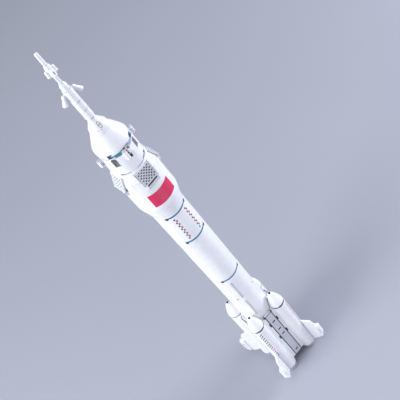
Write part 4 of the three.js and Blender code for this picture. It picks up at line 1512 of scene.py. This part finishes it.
@dataclass(frozen=True)
class Boosters:
    """The four strap-on boosters: nose, body with webs and bell, and fin."""

    offset: float = 16.3               # a booster's axis from the rocket's, across and deep
    radius: float = 8.0
    body_top: float = 109.4
    nose_foot: float = 1.25            # the nose above the body's top
    ogive: Corners = ((6.85, 117.0, 2.0), (5.05, 123.2, 2.0), (2.95, 128.6, 1.2))
    tip: float = 131.0
    tip_hole: float = 0.9              # depth of the hole in the tip
    bell: Corners = ((4.0, 8.6, 0.2), (5.85, 0.2, 0.15), (6.1, 0.0, 0.1), (6.55, 0.0, 0.1),
                     (6.6, 0.5, 0.2), (5.3, 8.0, 0.4))
    core_clear: float = 16.3
    foot: float = 10.0
    web_inner: float = 5.0
    web_foot: float = 14.0
    face: float = 19.6
    # parts of the ring under a nose, painted for the shade in the gap: a black painted shadow and a
    # blue painted shade towards the core; first and last angle from the outward side, finish
    ring_shade_arcs: tuple[tuple[float, float, int], ...] = ((-73.0, 5.0, 2), (-122.0, -82.0, 1))
    ring_height: float = 2.5
    stroke_half: float = 1.5           # half a stroke across
    stroke_rise: float = 1.6           # as much up for each half
    stroke_thick: float = 3.0
    stroke_pitch: float = 4.85
    stroke_span: tuple[float, float] = (49.5, 105.0)
    stroke_turn: float = 9.0           # strokes of the front left and back right, round the body
    red_strokes: int = 5               # red ones at the foot of those two
    fin_thick: float = 1.9
    fin_foot: float = 38.8             # outer end of the fin's lower edge
    fin_edge: Corners = ((43.4, 15.0, 1.0), (44.5, 22.0, 1.0), (44.5, 40.0, 0.5),
                         (42.2, 41.5, 0.5), (40.2, 51.5, 1.0))
    fin_top: float = 57.5              # where its upper edge meets the body
    block_foot: Corners = ((41.0, 13.5, 0.4), (43.6, 15.0, 0.8))
    block_face: tuple[float, float] = (22.0, 40.0)   # heights of the tip block's outer face
    block_back: Corners = ((41.6, 40.0, 0.4), (41.0, 36.0, 0.4))
    tip_thick: float = 4.4
    tip_reach: float = 46.0
    groove_heights: tuple[float, ...] = (24.0, 28.0, 32.0)

    def build(self) -> None:
        """Make the pieces of each booster."""
        for corner in Corner:
            self.nose(corner)
            self.body(corner)
            self.fin(corner)

    @property
    def diagonal(self) -> float:
        """Distance of a booster's axis from the rocket's."""
        return self.offset * float(np.sqrt(2))

    def off_core(self, shell: Shell) -> Shell:
        """Move points nearer to the rocket's axis than the clearance straight out to it.

        Args:
            shell: a surface in its place.

        Returns:
            The surface, clear of the core.
        """
        reach = np.maximum(np.hypot(shell.points[:, 0], shell.points[:, 1]), 1e-6)
        grow = np.maximum(self.core_clear / reach, 1.0)
        return replace(shell, points=shell.points * np.stack([grow, grow, np.ones(len(grow))], 1))

    def nose(self, corner: Corner) -> None:
        """An ogive that starts with a fine dark ring, painted shade in the gap under it, and ends
        in a small hole, painted black inside as shade.

        Args:
            corner: the booster that it is on.
        """
        r, tip, low = self.radius, self.tip, self.body_top
        foot = low + self.nose_foot
        ogive = lathe([(r - 0.15, foot, 0.15), (r - 0.05, foot + 0.9, 0.5), *self.ogive,
                       (1.7, tip, 0.4), (1.3, tip, 0.1), (1.25, tip - self.tip_hole, 0)], 64)
        # painted shade: the ring in the gap under the nose, and black deep in the tip's hole
        ring = drum(r - 0.15, low - 0.2, foot + 0.1, 64).painted(1)
        shade_plug = drum(1.28, tip - 1.2, tip - 0.5, 16).painted(2)
        mirror = 1 if corner in (Corner.FRONT_RIGHT, Corner.BACK_LEFT) else -1
        arcs = [arc(tuple(sorted((mirror * first, mirror * last))), r, low + self.ring_height / 2,
                    self.ring_height, 0.5, -0.02, 0.3).painted(place)
                for first, last, place in self.ring_shade_arcs]
        shape = joined([ogive, ring, shade_plug, *arcs]).moved(y=-self.diagonal).turned(corner.value)
        name = corner.name.lower()
        make_piece(f"ogive_{name}", self.off_core(shape), [WHITE_ABS, NOSE_RING_SHADE, SHADOW_ABS],
                   f"booster_nose_{name}")

    def body(self, corner: Corner) -> None:
        """The tube, the two webs that reach the tail strips, the bell and the printed strokes.

        Args:
            corner: the booster that it is of.
        """
        r, top, foot, inner = self.radius, self.body_top, self.foot, self.web_inner
        tube = lathe([(r - 0.2, foot, 0.15), (r, foot + 0.3, 0.15), (r, top - 0.2, 0.15),
                      (r - 0.25, top, 0.1)], 64)
        bell = lathe([*self.bell, (5.0, foot + 0.4, 0.2)], 56).painted(1)
        long, short = self.face - inner, self.offset - inner
        tall, middle = top - self.web_foot, (top + self.web_foot) / 2
        webs = [box(wide, deep, tall, inner + wide / 2, -(inner + deep / 2), middle, 0.4)
                for wide, deep in ((short, long), (long, short))]
        turned = corner in (Corner.FRONT_LEFT, Corner.BACK_RIGHT)
        strokes = []
        for row, height in enumerate(np.arange(*self.stroke_span, self.stroke_pitch)):
            x, up, half = self.stroke_half, self.stroke_rise, self.stroke_thick / 2
            slant = rounded([(-x, height - up - half, 0.2), (x, height + up - half, 0.2),
                             (x, height + up + half, 0.2), (-x, height - up + half, 0.2)], True)
            stroke = mark(slant, 0.1, 0.04, r, self.stroke_turn if turned else 0.0)
            strokes.append(stroke.painted(2 if turned and row >= self.red_strokes else 3))
        tube, bell, *strokes = [part.moved(y=-self.diagonal).turned(45.0)
                                for part in (tube, bell, *strokes)]
        shape = joined([self.off_core(joined([tube, bell, *webs])), *strokes])
        name = corner.name.lower()
        make_piece(f"body_{name}", shape.turned(corner.value - 45.0),
                   [WHITE_ABS, GREY_AND_GROOVE_SHADE, STROKE_DARK, STROKE_RED], f"booster_body_{name}")

    def fin(self, corner: Corner) -> None:
        """A plate that stands on the diagonal, and the thick tip block, with grooves on both faces
        and a line at the root painted grey for their shade.

        Args:
            corner: the booster that it is on.
        """
        root, z, tip = self.diagonal + self.radius - 0.2, self.foot + 0.5, self.tip_reach
        low, high = self.block_face
        plate = rounded([(root, z, 0.1), (self.fin_foot, z, 1.0), *self.fin_edge,
                         (root, self.fin_top, 0.1)], True)
        block = rounded([*self.block_foot, (tip, low, 0.8), (tip, high, 0.5), *self.block_back],
                        True)
        half, thick = self.fin_thick / 2, self.tip_thick / 2
        # painted shade: grey marks for the grooves and the root line
        grooves = [(rectangle(3.0, 1.3, 0.4, tip - 2, height), thick)
                   for height in self.groove_heights]
        grooves.append((rectangle(0.7, 38.0, 0.3, root + 0.9, z + 20.5), half))
        shape = joined([prism(plate, -half, half, 0.2), prism(block, -thick, thick, 0.35),
                        *[prism(line, -deep - 0.02, deep + 0.02, 0.01).painted(1)
                          for line, deep in grooves]])
        name = corner.name.lower()
        make_piece(f"tail_fin_{name}", shape.turned(-90.0 + corner.value),
                   [WHITE_ABS, GREY_AND_GROOVE_SHADE], f"booster_fin_{name}")


@dataclass(frozen=True)
class CoreEngines:
    """The base plate with its boss and four bells."""

    bell_offset: float = 6.5
    plate_radius: float = 14.6
    plate_foot: float = 7.6
    boss_radius: float = 3.4
    boss_foot: float = 6.4
    bell: Corners = ((3.1, 7.0, 0.2), (4.5, 0.95, 0.1), (4.7, 0.8, 0.1), (5.1, 0.8, 0.1),
                     (5.15, 1.1, 0.1), (4.0, 7.0, 0.4), (3.8, 8.2, 0.1))

    def build(self) -> None:
        """Make the one piece."""
        top, wide = heights("core_engines")[1], self.plate_radius
        plate = lathe([(wide, self.plate_foot, 0.25), (wide, top, 0.2)], 64)
        boss = lathe([(self.boss_radius, self.boss_foot, 0.2),
                      (self.boss_radius, self.plate_foot + 0.5, 0)], 40)
        bell = lathe(self.bell, 48)
        bells = [bell.moved(x * self.bell_offset, y * self.bell_offset)
                 for x in (-1, 1) for y in (-1, 1)]
        make_piece("engine_base", joined([plate, boss, *bells]), [DARK_GREY_AND_SHADE], "core_engines")


@dataclass(frozen=True)
class Studio:
    """The camera at the photograph's viewing angle, a pale floor and soft lights.

    The camera was fitted to the photograph: it stands at a distance and height, looks down by a
    tilt, and is turned by a pan and rolled.
    """

    azimuth: float = -11.7             # of the camera's place about the rocket
    distance: float = 514.1            # from the rocket's axis
    height: float = 906.4
    tilt_down: float = 49.78
    pan: float = 2.75
    roll: float = -38.98
    focal_pixels: float = 903.1
    image_pixels: float = 400.0
    sensor: float = 36.0
    floor_reach: float = 6.0           # half of the floor's side, in metres
    light_aim: float = 0.28            # height that the lights look at, in metres
    # name, azimuth, elevation, distance and size in metres, watts, colour
    lamps: tuple[tuple[str, float, float, float, float, float, str], ...] = (
        ("left", -88.0, 14.0, 1.3, 0.8, 16.0, "#FFFFFF"),
        ("right", 76.0, 12.0, 1.3, 0.6, 14.5, "#F8F9FF"),
        ("above", -60.0, 72.0, 1.6, 0.8, 6.0, "#FAFBFF"),
        ("foot", 4.0, -36.0, 0.36, 0.2, 0.11, "#FFFDFB"),
    )
    world_colour: str = "#DFE1EE"
    world_strength: float = 0.62

    def build(self) -> None:
        """Make the camera, the floor and the lights, and set the colours to plain sRGB."""
        self.camera()
        self.floor()
        self.lights()
        bpy.context.scene.view_settings.view_transform = "Standard"

    def camera(self) -> None:
        """The camera's axes: forward by pan and tilt, and its right and up turned by the roll."""
        tilt, pan, roll = np.radians([self.tilt_down, self.pan, self.roll])
        forward = np.array([np.sin(pan) * np.cos(tilt), np.cos(pan) * np.cos(tilt), -np.sin(tilt)])
        right = np.cross(forward, [0, 0, 1])
        right /= np.linalg.norm(right)
        up = np.cross(right, forward)
        axes = np.stack([right * np.cos(roll) + up * np.sin(roll),
                         up * np.cos(roll) - right * np.sin(roll), -forward], 1)
        c, s = np.cos(np.radians(self.azimuth)), np.sin(np.radians(self.azimuth))
        turn = np.array([[c, -s, 0], [s, c, 0], [0, 0, 1]])
        place = turn @ np.array([0, -self.distance, self.height]) * MM
        data = bpy.data.cameras.new("camera")
        data.sensor_width = self.sensor
        data.lens = self.focal_pixels * self.sensor / self.image_pixels
        data.clip_start = 0.01
        camera = self.placed("camera", data, turn @ axes, place)
        bpy.context.scene.camera = camera

    @staticmethod
    def placed(name: str, data: bpy.types.ID, axes: Numbers, place: Numbers) -> bpy.types.Object:
        """Put a camera or a light into the scene.

        Args:
            name: its name.
            data: the camera or the light.
            axes: its three axes, as columns.
            place: where it stands, in metres.

        Returns:
            The new object.
        """
        thing = bpy.data.objects.new(name, data)
        thing.matrix_world = Matrix.Translation(place.tolist()) @ Matrix(axes.tolist()).to_4x4()
        bpy.context.scene.collection.objects.link(thing)
        return thing

    def floor(self) -> None:
        """A wide pale sheet at the height that the rocket stands on."""
        r = self.floor_reach
        mesh = bpy.data.meshes.new("floor")
        mesh.from_pydata([(-r, -r, 0), (r, -r, 0), (r, r, 0), (-r, r, 0)], [], [(0, 1, 2, 3)])
        mesh.materials.append(PrintedInk("studio floor", "#A9AEB9", "#A6ABB6", 0.7, 900).material())
        floor = bpy.data.objects.new("floor", mesh)
        bpy.context.scene.collection.objects.link(floor)

    def lights(self) -> None:
        """Strong soft lights at the left and the right, a weak one above, a small one low in front
        of the tail strip, and an even fill."""
        for name, azimuth, elevation, distance, size, watts, colour in self.lamps:
            a, e = np.radians([azimuth, elevation])
            away = np.array([np.sin(a) * np.cos(e), -np.cos(a) * np.cos(e), np.sin(e)])
            data = bpy.data.lights.new(name, "AREA")
            data.size, data.energy, data.color = size, watts, linear(colour)[:3]
            side = np.cross([0, 0, 1], away)
            side /= np.linalg.norm(side)
            axes = np.stack([side, np.cross(away, side), away], 1)
            self.placed(name, data, axes, np.array([0, 0, self.light_aim]) + away * distance)
        world = bpy.data.worlds.new("studio")
        world.use_nodes = True
        background = world.node_tree.nodes["Background"]
        background.inputs["Color"].default_value = linear(self.world_colour)
        background.inputs["Strength"].default_value = self.world_strength
        bpy.context.scene.world = world


def main() -> None:
    """Build the rocket and its studio."""
    logging.basicConfig(level=logging.INFO, format="%(name)s %(message)s")
    for assembly in (Studio(), EscapeTower(), Nose(), UpperFairing(), LowerFairing(), GridFins(),
                     Core(), Tail(), Boosters(), CoreEngines()):
        assembly.build()
        LOG.info("built %s", type(assembly).__name__)


if __name__ == "__main__":
    main()
